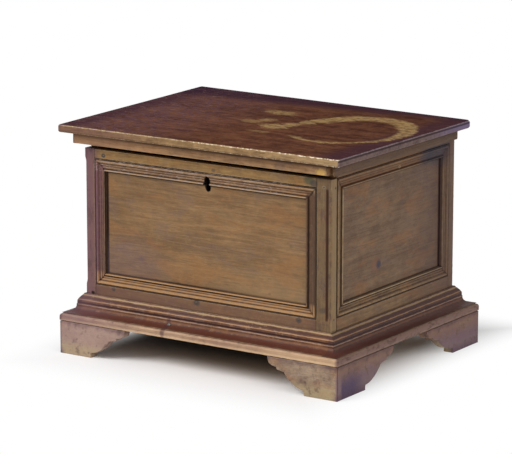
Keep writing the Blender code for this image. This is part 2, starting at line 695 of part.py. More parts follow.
def build_strips():
    """Three strips under the lid, mitred at the front corners, the right one broken."""
    pull = MITRE_PULL_SHARE * GAP
    low, high = SIDE_RIM + GAP, LID_UNDERSIDE - GAP
    outer, inner = STRIP_PROJECTION, -STRIP_BEARING
    ends = [[(side * (HALF_WIDTH + across - pull), FRONT - across, z)
             for across, z in ((inner, low), (outer, low), (outer, high), (inner, high))]
            for side in (-1, 1)]
    front = prism("lid_strip_front", ends, "walnut_front")
    cut_block(front, (HALF_WIDTH + STRIP_BREAK, FRONT - STRIP_PROJECTION - OVERRUN,
                      low - OVERRUN),
              (HALF_WIDTH + STRIP_PROJECTION + OVERRUN, FRONT, high + OVERRUN))
    for side, hand in ((-1, "left"), (1, "right")):
        near_end = [(side * (HALF_WIDTH + across), FRONT - across + pull, z)
                    for across, z in ((inner, low), (outer, low), (outer, high),
                                      (inner, high))]
        far_end = [(x, HINGE_AXIS_Y - KNUCKLE_RADIUS / 2, z) for x, _, z in near_end]
        prism(f"lid_strip_{hand}", (near_end, far_end), "walnut_side")


# Hinges

def knuckles():
    """Ends of each knuckle along a hinge, from its middle."""
    length = HINGE_WIDTH / KNUCKLE_COUNT
    start = -HINGE_WIDTH / 2
    return [(start + index * length, start + (index + 1) * length)
            for index in range(KNUCKLE_COUNT)]


def hinge_rod(start, end, radius, name="hinge_rod", look=None):
    """A rod on a hinge's axis."""
    return rod(name, (start, HINGE_AXIS_Y, HINGE_AXIS_Z), (end, HINGE_AXIS_Y, HINGE_AXIS_Z),
               radius, look)


def hinge_leaf(name, low, high, mine):
    """A leaf with its own knuckles, cut clear of the other leaf's and bored for the pin."""
    leaf = block(name, low, high, "old_iron")
    spans = knuckles()
    for index, (start, end) in enumerate(spans):
        if index % 2 != mine:
            combine(leaf, hinge_rod(start - GAP, end + GAP, KNUCKLE_RADIUS + GAP),
                    "DIFFERENCE")
    for index, (start, end) in enumerate(spans):
        if index % 2 == mine:
            combine(leaf, hinge_rod(start + GAP / 2, end - GAP / 2, KNUCKLE_RADIUS), "UNION")
    reach = HINGE_WIDTH / 2 + OVERRUN
    combine(leaf, hinge_rod(-reach, reach, HINGE_PIN_RADIUS + GAP), "DIFFERENCE")
    return leaf


def build_hinges():
    """Two butt hinges: a leaf on the back board, a leaf under the lid and a pin each.

    Each piece is shaped across the middle of the coffer and then moved along the axis.
    """
    face = BOARD_BACK + GAP
    outer = face + LEAF_THICKNESS
    height = HINGE_AXIS_Z - HINGE_NAIL_DROP_SHARE * LEAF_DROP
    reach = HINGE_WIDTH / 2
    end = reach - GAP / 2
    for side, hand in ((-1, "left"), (1, "right")):
        fixed = hinge_leaf(f"hinge_leaf_{hand}", (-end, face, HINGE_AXIS_Z - LEAF_DROP),
                           (end, outer, HINGE_AXIS_Z), 0)
        for share in HINGE_NAIL_SHARES:
            add_nail(fixed, (share * HINGE_WIDTH, outer, height), (0, 1, 0))
        turning = hinge_leaf(f"lid_hinge_leaf_{hand}",
                             (-end, HINGE_AXIS_Y - LEAF_REACH,
                              LID_UNDERSIDE - GAP - LEAF_THICKNESS),
                             (end, HINGE_AXIS_Y, LID_UNDERSIDE - GAP), 1)
        pin = hinge_rod(-reach, reach, HINGE_PIN_RADIUS, f"hinge_pin_{hand}", "old_iron")
        for piece in (fixed, turning, pin):
            piece.location.x += side * (HALF_WIDTH - HINGE_INSET)


# Lock

def lock_case():
    """An iron case, open towards the front, with ears, a staple slot and a bolt guide."""
    low = Vector((KEY_X - LOCK_WIDTH / 2, LOCK_FRONT, LOCK_TOP - LOCK_HEIGHT))
    high = Vector((KEY_X + LOCK_WIDTH / 2, LOCK_BACK, LOCK_TOP))
    case = block("lock_case", low, high, "old_iron")
    wall = LOCK_WALL
    cut_block(case, (low.x + wall, low.y - OVERRUN, low.z + wall),
              (high.x - wall, high.y - wall, high.z - wall))
    slot = STAPLE_THICKNESS / 2 + BOLT_CLEARANCE + OVERRUN
    cut_block(case, (KEY_X - slot, LOCK_FRONT - OVERRUN, high.z - wall - OVERRUN),
              (KEY_X + slot, LOCK_BACK - wall, high.z + OVERRUN))
    ear_bottom = OPENING_TOP + GAP
    add_block(case, (low.x - LOCK_EAR, LOCK_FRONT, ear_bottom),
              (low.x + wall / 2, LOCK_FRONT + wall, high.z))
    add_block(case, (high.x - wall / 2, LOCK_FRONT, ear_bottom),
              (high.x + LOCK_EAR, LOCK_FRONT + wall, high.z))
    seat = BOLT_Z - BOLT_HEIGHT / 2 - GAP
    lip = STAPLE_Y - BOLT_THICKNESS / 2 - GAP
    start, end = KEY_X + KEY_CLEARANCE, high.x - wall / 2
    add_block(case, (start, lip - wall, seat - wall), (end, LOCK_BACK - wall / 2, seat))
    add_block(case, (start, lip - wall, seat - wall / 2), (end, lip, seat + BOLT_LIP))
    for side in (-1, 1):
        ear = KEY_X + side * (LOCK_WIDTH + LOCK_EAR) / 2
        add_nail(case, (ear, LOCK_FRONT + wall, (OPENING_TOP + LOCK_TOP) / 2), (0, 1, 0))
    return case


def lock_bolt():
    """The bolt, drawn back to the right of the staple, with a notch for the key."""
    half = BOLT_THICKNESS / 2
    bolt = block("lock_bolt", (BOLT_START, STAPLE_Y - half, BOLT_Z - BOLT_HEIGHT / 2),
                 (BOLT_START + BOLT_LENGTH, STAPLE_Y + half, BOLT_Z + BOLT_HEIGHT / 2),
                 "old_iron")
    notch = BOLT_START + BOLT_HEIGHT
    cut_block(bolt, (notch, STAPLE_Y - half - OVERRUN, BOLT_Z - BOLT_HEIGHT / 2 - OVERRUN),
              (notch + BOLT_HEIGHT / 2, STAPLE_Y + half + OVERRUN, BOLT_Z - BOLT_HEIGHT / 4))
    return bolt


def lock_key_pin():
    """The pin that a piped key turns on, standing out from the back of the case."""
    return rod("lock_key_pin", (KEY_X, LOCK_FRONT + BOLT_CLEARANCE, KEY_Z),
               (KEY_X, LOCK_BACK - LOCK_WALL - GAP, KEY_Z), KEY_PIN_RADIUS, "old_iron")


def lock_spring():
    """A bowed leaf spring between the top of the case and the bolt."""
    roof = LOCK_TOP - LOCK_WALL - GAP - SPRING_THICKNESS
    floor = BOLT_Z + BOLT_HEIGHT / 2 + GAP
    middle = BOLT_START + BOLT_LENGTH / 2
    lower = []
    for step in range(SPRING_STEPS + 1):
        t = 2 * step / SPRING_STEPS - 1
        lower.append((middle + t * SPRING_LENGTH / 2, floor + (roof - floor) * t * t))
    upper = [(x, z + SPRING_THICKNESS) for x, z in reversed(lower)]
    rings = [[(x, y, z) for x, z in lower + upper]
             for y in (STAPLE_Y - SPRING_WIDTH / 2, STAPLE_Y + SPRING_WIDTH / 2)]
    return prism("lock_spring", rings, "old_iron")


def lock_staple():
    """A plate under the lid with an eye that hangs into the lock case."""
    top = LID_UNDERSIDE - GAP
    plate_front = INNER_FRONT + 2 * GAP
    staple = block("lock_staple",
                   (KEY_X - STAPLE_PLATE_WIDTH / 2, plate_front,
                    top - STAPLE_PLATE_THICKNESS),
                   (KEY_X + STAPLE_PLATE_WIDTH / 2, plate_front + STAPLE_PLATE_DEPTH, top),
                   "old_iron")
    eye_half = BOLT_HEIGHT / 2 + STAPLE_EYE_CLEARANCE
    half = STAPLE_THICKNESS / 2
    add_block(staple, (KEY_X - half, STAPLE_Y - STAPLE_WIDTH / 2,
                       BOLT_Z - eye_half - STAPLE_FOOT),
              (KEY_X + half, STAPLE_Y + STAPLE_WIDTH / 2,
               top - STAPLE_PLATE_THICKNESS / 2))
    eye_depth = BOLT_THICKNESS / 2 + STAPLE_EYE_CLEARANCE
    cut_block(staple, (KEY_X - half - OVERRUN, STAPLE_Y - eye_depth, BOLT_Z - eye_half),
              (KEY_X + half + OVERRUN, STAPLE_Y + eye_depth, BOLT_Z + eye_half))
    for side in (-1, 1):
        add_nail(staple, (KEY_X + side * (STAPLE_PLATE_WIDTH + STAPLE_THICKNESS) / 4,
                          plate_front + STAPLE_PLATE_DEPTH / 2,
                          top - STAPLE_PLATE_THICKNESS), (0, 0, -1))
    return staple


def build_lock():
    """Case, bolt, key pin, spring and staple."""
    lock_case()
    lock_bolt()
    lock_key_pin()
    lock_spring()
    lock_staple()


def hang_lid():
    """Hang all that turns with the lid on an empty on the hinges' axis."""
    pivot = bpy.data.objects.new("lid_pivot", None)
    bpy.context.scene.collection.objects.link(pivot)
    pivot.location = (0, HINGE_AXIS_Y, HINGE_AXIS_Z)
    for name in LID_PIECES:
        piece = bpy.data.objects[name]
        piece.parent = pivot
        piece.location -= pivot.location


def shade_round_faces():
    """Shade the round stretches of every piece smooth and keep its corners sharp."""
    for piece in bpy.data.objects:
        if piece.type == "MESH":
            piece.data.shade_smooth()
            piece.data.set_sharp_from_angle(angle=math.radians(SMOOTH_BELOW_DEGREES))


def main():
    clear_scene()
    build_front()
    build_sides()
    build_back_and_bottom()
    build_base()
    lid_board()
    build_strips()
    build_hinges()
    build_lock()
    hang_lid()
    shade_round_faces()


main()
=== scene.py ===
"""The looks of a small walnut coffer, joined and panelled, on a moulded plinth with bracket feet.

Lengths are in metres. X runs to the right along the front, the front faces -Y, and Z points up.
"""

import itertools
import math

import bpy
import numpy as np
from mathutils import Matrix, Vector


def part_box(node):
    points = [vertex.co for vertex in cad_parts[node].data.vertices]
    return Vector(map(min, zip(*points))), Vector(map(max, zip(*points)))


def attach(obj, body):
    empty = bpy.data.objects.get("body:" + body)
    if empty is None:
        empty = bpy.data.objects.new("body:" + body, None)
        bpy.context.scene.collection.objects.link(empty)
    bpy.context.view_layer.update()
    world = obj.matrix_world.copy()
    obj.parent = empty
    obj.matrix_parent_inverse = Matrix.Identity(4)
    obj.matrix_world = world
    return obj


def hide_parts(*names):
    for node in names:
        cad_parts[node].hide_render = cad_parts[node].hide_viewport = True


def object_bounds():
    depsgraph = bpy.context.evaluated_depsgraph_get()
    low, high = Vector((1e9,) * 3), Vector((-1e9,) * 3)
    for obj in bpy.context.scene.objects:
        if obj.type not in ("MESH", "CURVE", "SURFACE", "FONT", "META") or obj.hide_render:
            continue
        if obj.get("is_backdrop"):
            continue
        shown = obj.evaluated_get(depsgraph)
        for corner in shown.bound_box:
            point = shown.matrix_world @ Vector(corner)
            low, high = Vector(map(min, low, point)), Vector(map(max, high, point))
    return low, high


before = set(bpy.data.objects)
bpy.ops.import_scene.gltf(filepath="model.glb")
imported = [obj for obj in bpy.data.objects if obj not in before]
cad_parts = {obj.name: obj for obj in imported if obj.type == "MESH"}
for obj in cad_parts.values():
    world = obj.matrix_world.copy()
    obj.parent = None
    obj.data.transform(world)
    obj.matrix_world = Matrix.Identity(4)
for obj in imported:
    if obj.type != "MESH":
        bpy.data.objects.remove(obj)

cad_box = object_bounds()

# Camera
# A long lens, off the right front corner and a little above the lid, as the photographer
# placed it.

LENS_MM = 210.2
SENSOR_MM = 36.0
EYE = (2.228, -3.366, 1.064)
TILT_DEGREES = 77.54
TURN_DEGREES = 33.79
CLIP = (0.1, 60.0)


def placed(name, data):
    """A new object in the scene that holds this data."""
    made = bpy.data.objects.new(name, data)
    bpy.context.scene.collection.objects.link(made)
    return made


lens = bpy.data.cameras.new("camera")
lens.lens = LENS_MM
lens.sensor_width = SENSOR_MM
lens.sensor_fit = "HORIZONTAL"
lens.clip_start, lens.clip_end = CLIP
camera = placed("camera", lens)
camera.location = EYE
camera.rotation_euler = (math.radians(TILT_DEGREES), 0, math.radians(TURN_DEGREES))
bpy.context.scene.camera = camera

# Front posts
# Two walnut posts that carry the front rails. A bead is worked on the outer corner between
# two stops, and the right post has a quirk beside its bead.

LATTICE_NUMBERS = 65537
LATTICE_STEPS = (7919, 104729, 1299709)
FLAT_TURN = 0.02                # radians, below which a side runs straight on
CORNER_POINTS = 4               # of the curve at each corner of an outline
SIDE_SPACING = 0.003            # between points on the flat sides of an outline
STATION_SPACING = 0.003         # between sections along a piece
END_STATIONS = (0.0, 0.0005, 0.0014)
ARRIS_SPREAD = 0.0009           # how far from a corner wear and dirt reach
RIGHT_ANGLE = math.pi / 2
ROUGH_SIZE = 0.0045             # of the dents along an arris
BROAD_SIZE = 0.060              # of the slow waves of an old surface
WAVE_DEPTH = 0.00020
GRAIN_SHIFT = 3.0               # each piece takes its figure from its own part of a log
SHARP_DEGREES = 38
EVEN_WEAR, DENT_WEAR = 0.25, 1.5        # shares of the wear that are even, and in dents
EVEN_SHOW, DENT_SHOW = 0.45, 0.55       # shares of how worn an arris looks
RIGHT, BACK, UP = np.eye(3)
CHIP_WAVES = (330, 330, 330)            # to the metre, for the chips of worn arrises
HANDS = (("left", -1), ("right", 1))    # each side with its sign along X
FRONT_Y = -0.1585                       # the face of the frame
KEY_MIDDLE = (0.0014, -0.150, 0.2597)   # of the painted shade in the keyhole
KEY_SPREAD = (0.0053, 0.030, 0.0112)

BEAD_RADIUS = 0.0034
BEAD_SINK = 0.0002
QUIRK_WIDTH = 0.0018
QUIRK_DEPTH = 0.0014
BEAD_TURNS = 9
STOP_LOW, STOP_HIGH = 0.098, 0.275
STOP_LENGTH = 0.004
POST_ARRIS = 0.0009
POST_WEAR = 0.0005
UNWORKED_SHOW = 0.4             # how worn the square ends of a post look, beside the bead


def srgb(red, green, blue):
    """A colour from its 0 to 255 screen values, as the linear light that a shader takes."""
    shares = (value / 255 for value in (red, green, blue))
    return tuple(share / 12.92 if share <= 0.04045 else ((share + 0.055) / 1.055) ** 2.4
                 for share in shares)


# Dark tone of dirt, also used for painted shade along the panel mouldings.
DIRT_AND_SHADE_TONE = srgb(38, 22, 17)
# Near-black painted shade inside the keyhole.
KEYHOLE_SHADE = srgb(12, 8, 7)
CHALK = srgb(205, 192, 172)
BRUISE = srgb(66, 42, 40)
RED_WAX = srgb(150, 100, 58)
DULL_WAX = srgb(104, 86, 84)
PURPLE_WAX = srgb(102, 73, 82)
RAIL_WAX = srgb(96, 68, 62)
IRON_STAIN = srgb(62, 58, 56)
GREEN_STAIN = srgb(84, 78, 58)
PALE_STAIN = srgb(176, 158, 130)
WORN_FRONT = srgb(176, 148, 106)
FRONT_WASHES = (                # tone, strength, and masks with where it starts and is full
    (PURPLE_WAX, 0.85, ("x", -0.172, -0.192)), (srgb(84, 73, 62), 0.55, ("x", 0.158, 0.180)),
    (srgb(76, 56, 56), 0.55, ("spots", 0.50, 0.62), ("|x|", 0.172, 0.182)),
    # Painted shade in the quirk beside the right post's bead, between its stops.
    (srgb(62, 38, 28), 0.9, ("x", 0.1903, 0.1911), ("x", 0.1952, 0.1940),
     ("z", 0.096, 0.100), ("z", 0.276, 0.273)),
    (srgb(182, 152, 112), 0.3, ("x", 0.1982, 0.1996)),
)
FRONT_STAINS = (                # x, z, radius, tone and strength of each
    (-0.1688, 0.2797, 0.0035, IRON_STAIN, 0.9), (0.1643, 0.2835, 0.0075, GREEN_STAIN, 0.9),
    (0.1720, 0.2800, 0.0060, IRON_STAIN, 0.7), (0.1875, 0.2768, 0.0026, PALE_STAIN, 0.25),
    (0.0133, 0.2799, 0.0030, IRON_STAIN, 0.6), (-0.1890, 0.0855, 0.0028, DIRT_AND_SHADE_TONE, 1.0),
    (-0.1537, 0.0945, 0.0030, IRON_STAIN, 0.8), (-0.0149, 0.0948, 0.0050, IRON_STAIN, 0.8),
    (0.1493, 0.0935, 0.0045, IRON_STAIN, 0.7), (0.1858, 0.1115, 0.0045, IRON_STAIN, 0.5),
    (-0.1088, 0.1427, 0.0070, srgb(84, 64, 72), 0.6), (0.1002, 0.1213, 0.0028, IRON_STAIN, 0.8),
    (0.1341, 0.1902, 0.0040, GREEN_STAIN, 0.6), (0.0200, 0.2150, 0.0220, GREEN_STAIN, 0.25),
)


def box_of(node):
    """Lowest and highest corner of a node of the frame."""
    low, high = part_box(node)
    return np.array(low), np.array(high)


def unevenness(points, size, seed):
    """Value noise from 0 to 1: a random number at each corner of a lattice of this size,
    blended between the corners by the smooth step 3t^2 - 2t^3 along each axis."""
    table = np.random.default_rng(seed).random(LATTICE_NUMBERS)
    cell = np.floor(points / size).astype(np.int64)
    part = points / size - cell
    part = part * part * (3 - 2 * part)
    total = np.zeros(points.shape[:-1])
    for corner in itertools.product((0, 1), repeat=3):
        weight = np.prod(np.where(corner, part, 1 - part), axis=-1)
        total += weight * table[(cell + corner) @ np.array(LATTICE_STEPS) % LATTICE_NUMBERS]
    return total


def softened(outline, radius):
    """A closed outline as close points, with its outward normals, how it turns there, and how
    deep each point may sink: half the curve's reach at a corner, and half the distance more
    away from it.

    Long sides are divided evenly. A corner P becomes the quadratic curve
    (1-t)^2 A + 2t(1-t) P + t^2 B from A, one radius before it, to B, one radius after it.
    The turn at a point is the sum over the corners of their angle, less with the square of
    the distance: above zero on an arris, below zero in a hollow."""
    outline = np.asarray(outline, float)
    after = np.roll(outline, -1, axis=0)
    area = np.sum(outline[:, 0] * after[:, 1] - outline[:, 1] * after[:, 0])
    if area < 0:
        outline = outline[::-1]
        after = np.roll(outline, -1, axis=0)
    sides = np.linalg.norm(after - outline, axis=1)
    parts = np.maximum(np.ceil(sides / SIDE_SPACING).astype(int), 1)
    step = np.repeat((after - outline) / parts[:, None], parts, axis=0)
    count = np.arange(parts.sum()) - np.repeat(np.cumsum(parts) - parts, parts)
    points = np.repeat(outline, parts, axis=0) + step * count[:, None]
    back = points - np.roll(points, 1, axis=0)
    ahead = np.roll(points, -1, axis=0) - points
    turn = np.arctan2(back[:, 0] * ahead[:, 1] - back[:, 1] * ahead[:, 0],
                      np.sum(back * ahead, axis=1))
    sharp = np.abs(turn) > FLAT_TURN
    lengths = np.linalg.norm(back, axis=1), np.linalg.norm(ahead, axis=1)
    reach = np.where(sharp, np.minimum(radius, np.minimum(*lengths) / 2), 0)[:, None]
    start = points - back / lengths[0][:, None] * reach
    end = points + ahead / lengths[1][:, None] * reach
    t = np.linspace(0, 1, CORNER_POINTS)[None, :, None]
    curve = ((1 - t) ** 2 * start[:, None] + 2 * t * (1 - t) * points[:, None]
             + t ** 2 * end[:, None])
    kept = sharp[:, None] | (np.arange(CORNER_POINTS) == 0)
    fine = curve[kept]
    corner = np.repeat(points[:, None], CORNER_POINTS, axis=1)[kept]
    near = np.linalg.norm(corner[:, None] - points[sharp][None], axis=2)
    give = np.min(near + reach[sharp][:, 0], axis=1) / 2
    away = np.sum((fine[:, None] - points[sharp][None]) ** 2, axis=2)
    edge = np.exp(-away / (2 * ARRIS_SPREAD ** 2)) @ turn[sharp] / RIGHT_ANGLE
    return fine, outward(fine), edge, give


def outward(fine):
    """Unit normals of closed sections that run anticlockwise: the tangent turned right."""
    tangent = np.roll(fine, -1, axis=-2) - np.roll(fine, 1, axis=-2)
    normal = np.stack([tangent[..., 1], -tangent[..., 0]], axis=-1)
    return normal / np.linalg.norm(normal, axis=-1, keepdims=True)


def solid(name, rings, told, look, body, nodes):
    """A closed piece from rings of points: quads join neighbouring rings, and the first and
    the last ring are filled. The faces are turned outwards by the sign of the volume, the
    sum of a . (b x c) / 6 over the triangles. told holds values for each point, by name;
    the filled ends show no wear of their rims."""
    stations, around = rings.shape[:2]
    points = rings.reshape(-1, 3)
    index = np.arange(stations * around).reshape(stations, around)
    after = np.roll(index, -1, axis=1)
    quads = np.stack([index[:-1], after[:-1], after[1:], index[1:]], axis=-1).reshape(-1, 4)
    caps = [index[0][::-1], index[-1]]
    a, b, c, d = (points[quads[:, corner]] for corner in range(4))
    volume = np.sum(a * np.cross(b, c)) + np.sum(a * np.cross(c, d))
    for cap in caps:
        volume += np.sum(points[cap[0]] * np.cross(points[cap[1:-1]], points[cap[2:]]))
    if volume < 0:
        quads = quads[:, ::-1]
        caps = [cap[::-1] for cap in caps]
    corners = np.concatenate([quads.ravel(), *caps])
    starts = np.concatenate([np.arange(len(quads)) * 4,
                             [quads.size, quads.size + around]])
    mesh = bpy.data.meshes.new(name)
    mesh.vertices.add(len(points))
    mesh.vertices.foreach_set("co", points.astype(np.float32).ravel())
    mesh.loops.add(len(corners))
    mesh.loops.foreach_set("vertex_index", corners.astype(np.int32))
    mesh.polygons.add(len(starts))
    mesh.polygons.foreach_set("loop_start", starts.astype(np.int32))
    mesh.update(calc_edges=True)
    mesh.validate()
    for label, values in told.items():
        form = "FLOAT_VECTOR" if label == "grain" else "FLOAT"
        layer = mesh.attributes.new(label, form, "CORNER")
        field = "vector" if label == "grain" else "value"
        spread = values.reshape(len(points), -1)[corners].astype(np.float32)
        if label != "grain":
            spread[quads.size:] = 0
        layer.data.foreach_set(field, spread.ravel())
    mesh.shade_smooth()
    mesh.set_sharp_from_angle(angle=math.radians(SHARP_DEGREES))
    piece = placed(name, mesh)
    mesh.materials.append(look)
    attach(piece, body)
    if nodes:
        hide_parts(*nodes)
    return piece


def carried(fine, normal, edge, give, corner, directions, run, wear, seed):
    """Sections carried along a straight run, worn and a little wavy, and what is told of them.

    A section point (a, b) lies at corner + a across + b rise + run along. Each point sinks
    against its normal by the wear on the arris that it is near, times a squared noise, and
    by a slow wave, so that nothing stands proud of the sharp shape."""
    across, rise, along = directions
    points = (corner + fine[..., :1] * across + fine[..., 1:] * rise
              + run[..., None] * along)
    dents = unevenness(points, ROUGH_SIZE, seed)
    waves = unevenness(points, BROAD_SIZE, seed + 1)
    arris = np.clip(edge, 0, 1) + 0 * run
    worn = arris * wear * (EVEN_WEAR + DENT_WEAR * dents ** 2)
    sink = np.minimum(worn + WAVE_DEPTH * waves, give)
    points -= sink[..., None] * (normal[..., :1] * across + normal[..., 1:] * rise)
    shift = np.random.default_rng(seed).random(3) * GRAIN_SHIFT
    a, b = fine[..., 0] + 0 * run, fine[..., 1] + 0 * run
    ends = np.minimum(run - run.min(axis=0), run.max(axis=0) - run)
    told = {"worn": arris * (EVEN_SHOW + DENT_SHOW * dents),
            "grime": np.clip(-edge, 0, 1) + 0 * run,
            "joint": np.exp(-ends / ARRIS_SPREAD),
            "grain": np.stack([run, a, b], axis=-1) + shift}
    return points, told


def stations(length):
    """Even steps along a piece from 0 to 1, with close ones at its ends."""
    ends = np.array(END_STATIONS) / length
    middle = np.linspace(0, 1, max(int(length / STATION_SPACING), 4))[1:-1]
    return np.concatenate([ends, middle, 1 - ends[::-1]])


class Wire:
    """A shader socket that works in sums, so that a mask is written as 1 - worn * 0.5."""

    def __init__(self, finish, socket):
        self.finish = finish
        self.socket = socket

    def maths(self, operation, *values):
        """A Math node on these values."""
        return self.finish.node("ShaderNodeMath", {"operation": operation}, values)

    def __add__(self, other):
        return self.maths("ADD", self, other)

    def __sub__(self, other):
        return self.maths("SUBTRACT", self, other)

    def __rsub__(self, other):
        return self.maths("SUBTRACT", other, self)

    def __mul__(self, other):
        return self.maths("MULTIPLY", self, other)

    def __abs__(self):
        return self.maths("ABSOLUTE", self)

    __radd__ = __add__
    __rmul__ = __mul__

    def either(self, other):
        """The larger of two values."""
        return self.maths("MAXIMUM", self, other)

    def between(self, low, high):
        """0 at low, 1 at high, and a smooth step from one to the other."""
        return self.finish.node("ShaderNodeMapRange", {"interpolation_type": "SMOOTHSTEP"},
                                {"Value": self, "From Min": low, "From Max": high})


class Finish:
    """A material, whose nodes are made by one method and joined by wires. It holds its colour
    and relief so far, and the masks that washes go by, such as the place x, y and z."""

    def __init__(self, name):
        self.look = bpy.data.materials.new(name)
        self.look.use_nodes = True
        self.shader = self.look.node_tree.nodes["Principled BSDF"]
        self.place = self.node("ShaderNodeTexCoord", output=3)
        self.grain = self.told("grain", 1)
        self.side, self.depth, self.height = (
            self.node("ShaderNodeSeparateXYZ", (), (self.place,), number) for number in range(3))
        self.masks = {"x": self.side, "y": self.depth, "z": self.height,
                      "|x|": abs(self.side)}
        self.colour, self.relief = None, 0.0

    def feed(self, socket, value):
        """Link a wire to a socket, or set the socket to a value."""
        if isinstance(value, Wire):
            self.look.node_tree.links.new(value.socket, socket)
        elif socket.type == "RGBA":
            socket.default_value = (*value, 1.0)
        else:
            socket.default_value = value

    def node(self, kind, settings=(), values=(), output=0):
        """A node of this type, with its settings first and then its sockets."""
        made = self.look.node_tree.nodes.new(kind)
        for setting, value in dict(settings).items():
            setattr(made, setting, value)
        for key, value in (values.items() if isinstance(values, dict) else enumerate(values)):
            self.feed(made.inputs[key], value)
        return Wire(self, made.outputs[output])

    def told(self, name, output=2):
        """What the mesh tells of each of its points under this name."""
        return self.node("ShaderNodeAttribute", {"attribute_name": name}, output=output)

    def mix(self, under, over, share):
        """One colour over another."""
        return self.node("ShaderNodeMix", {"data_type": "RGBA"}, {0: share, 6: under, 7: over},
                         output=2)

    def noise(self, vector, scales, detail=3.0, roughness=0.55, distortion=0.0):
        """Noise with its own number of waves to the metre along each axis."""
        stretched = self.node("ShaderNodeVectorMath", {"operation": "MULTIPLY"},
                              (vector, scales))
        return self.node("ShaderNodeTexNoise", (),
                         {"Vector": stretched, "Scale": 1.0, "Detail": detail,
                          "Roughness": roughness, "Distortion": distortion})

    def distance(self, centre, radii):
        """Distance from a centre, in radii that differ by axis."""
        moved = self.node("ShaderNodeVectorMath", {"operation": "SUBTRACT"},
                          (self.place, centre))
        scaled = self.node("ShaderNodeVectorMath", {"operation": "DIVIDE"}, (moved, radii))
        return self.node("ShaderNodeVectorMath", {"operation": "LENGTH"}, (scaled,), output=1)

    def lay(self, tone, share):
        """Lay a tone over the colour so far."""
        self.colour = self.mix(self.colour, tone, share)

    def stain(self, tone, strength, centre, radii, ragged=0.5):
        """Lay a tone inside an ellipsoid over the colour so far. Its rim is ragged, and fades
        from 0.65 to 1.35 of the radii."""
        rim = self.noise(self.place, (420, 420, 420), detail=2) - 0.5
        away = self.distance(centre, radii) + rim * ragged
        self.lay(tone, away.between(1.35, 0.65) * strength)

    def washed(self, colour, washes):
        """A colour under washes. Each is a tone, its strength, and the masks that bound it, by
        name, with where the wash starts and where it is full."""
        for tone, strength, *bounds in washes:
            share = strength
            for name, start, full in bounds:
                share = self.masks[name].between(start, full) * share
            colour = self.mix(colour, tone, share)
        return colour

    def wash(self, *washes):
        """Lay washes over the colour so far."""
        self.colour = self.washed(self.colour, washes)

    def close(self, roughness, depth, metallic=0.0, gloss=0.1):
        """Join the colour, the roughness and a bump of this depth to the shader."""
        self.shader.inputs["Specular IOR Level"].default_value = gloss
        bump = self.node("ShaderNodeBump", (), {"Strength": 1.0, "Distance": depth,
                                                "Height": self.relief})
        for socket, value in (("Base Color", self.colour), ("Roughness", roughness),
                              ("Metallic", metallic), ("Normal", bump)):
            self.feed(self.shader.inputs[socket], value)
        return self.look


def walnut(name, pale, deep, worn, chalk=0.0, bands=0.6, cloud=0.2, wear=0.6, dirt_and_shade_share=0.8,
           mottle=0.2, hues=0.28, grime=DIRT_AND_SHADE_TONE):
    """Old waxed walnut: long streaks along the grain, clouds where the wax has gone dull,
    drifts of redder and greyer wax, small bruises, pale worn arrises, and dark dirt in the
    hollows and joints, which on the panel mouldings also stands for painted shade. The
    finish also holds where it is rubbed."""
    finish = Finish(name)
    drift = finish.noise(finish.grain, (3.5, 26, 26), detail=2).between(0.35, 0.65)
    figure = finish.noise(finish.grain, (11, 190, 190), detail=8, roughness=0.78,
                          distortion=0.9).between(0.35, 0.65)
    fibre = finish.noise(finish.grain, (70, 1100, 1100), detail=3, roughness=0.6)
    dull = finish.noise(finish.place, (24, 24, 24), detail=5, roughness=0.6)
    tone = drift * (1 - bands - cloud) + figure * bands + dull.between(0.36, 0.64) * cloud
    finish.colour = finish.mix(deep, pale, tone)
    finish.masks["fibre"] = fibre
    finish.masks["hue"] = finish.noise(finish.place, (16, 16, 30), detail=6, roughness=0.68,
                                       distortion=0.6)
    finish.masks["bruises"] = finish.noise(finish.place, (105, 105, 150), detail=7,
                                           roughness=0.78)
    finish.wash((deep, 0.5, ("fibre", 0.52, 0.32)), (RED_WAX, hues, ("hue", 0.50, 0.62)),
                (DULL_WAX, hues, ("hue", 0.48, 0.36)),
                (BRUISE, mottle, ("bruises", 0.51, 0.66)),
                (worn, mottle * 0.8, ("bruises", 0.47, 0.34)))
    chip = finish.noise(finish.place, CHIP_WAVES, detail=4, roughness=0.7)
    told = finish.told("worn")
    finish.rubbed = (told * 1.25 + chip * 1.1 - 0.85).between(0.0, 0.55)
    finish.lay(worn, finish.rubbed * wear)
    if chalk:
        dust = finish.noise(finish.place, (700, 700, 700), detail=3, roughness=0.7)
        finish.lay(CHALK, (told * 0.9 + dust * 1.2 - 1.05).between(0.0, 0.2) * chalk)
    # Dirt in the hollows and joints, which on the panel mouldings also paints their shade.
    dirt_and_shade_mask = (finish.told("grime") * 1.3 + finish.told("joint") * 0.8
            + finish.noise(finish.place, (160, 160, 160), detail=3) * 0.7 - 0.4)
    finish.lay(grime, dirt_and_shade_mask.between(0.0, 0.9) * dirt_and_shade_share)
    finish.relief = fibre * 0.6 + figure * 0.4 + chip * finish.rubbed * 1.5
    return finish


def front_marks(finish):
    """Stains round the nails of the front, the bruises on its panel, its purple left, the dark
    wax on its bottom rail, painted shade in the quirk beside the right post's bead, and the
    painted shade inside the keyhole."""
    finish.masks["spots"] = finish.noise(finish.place, (90, 90, 45), detail=6, roughness=0.75)
    finish.wash(*FRONT_WASHES)
    rail = (finish.height.between(0.100, 0.096) * finish.side.between(0.1764, 0.1762)
            * finish.side.between(-0.1838, -0.1836))
    finish.lay(RAIL_WAX, rail * (0.58 + finish.side.between(0.0, -0.15) * 0.17))
    for x, z, radius, tone, strength in FRONT_STAINS:
        finish.stain(tone, strength, (x, FRONT_Y, z), (radius, 0.006, radius * 0.8))
    shade_keyhole(finish)


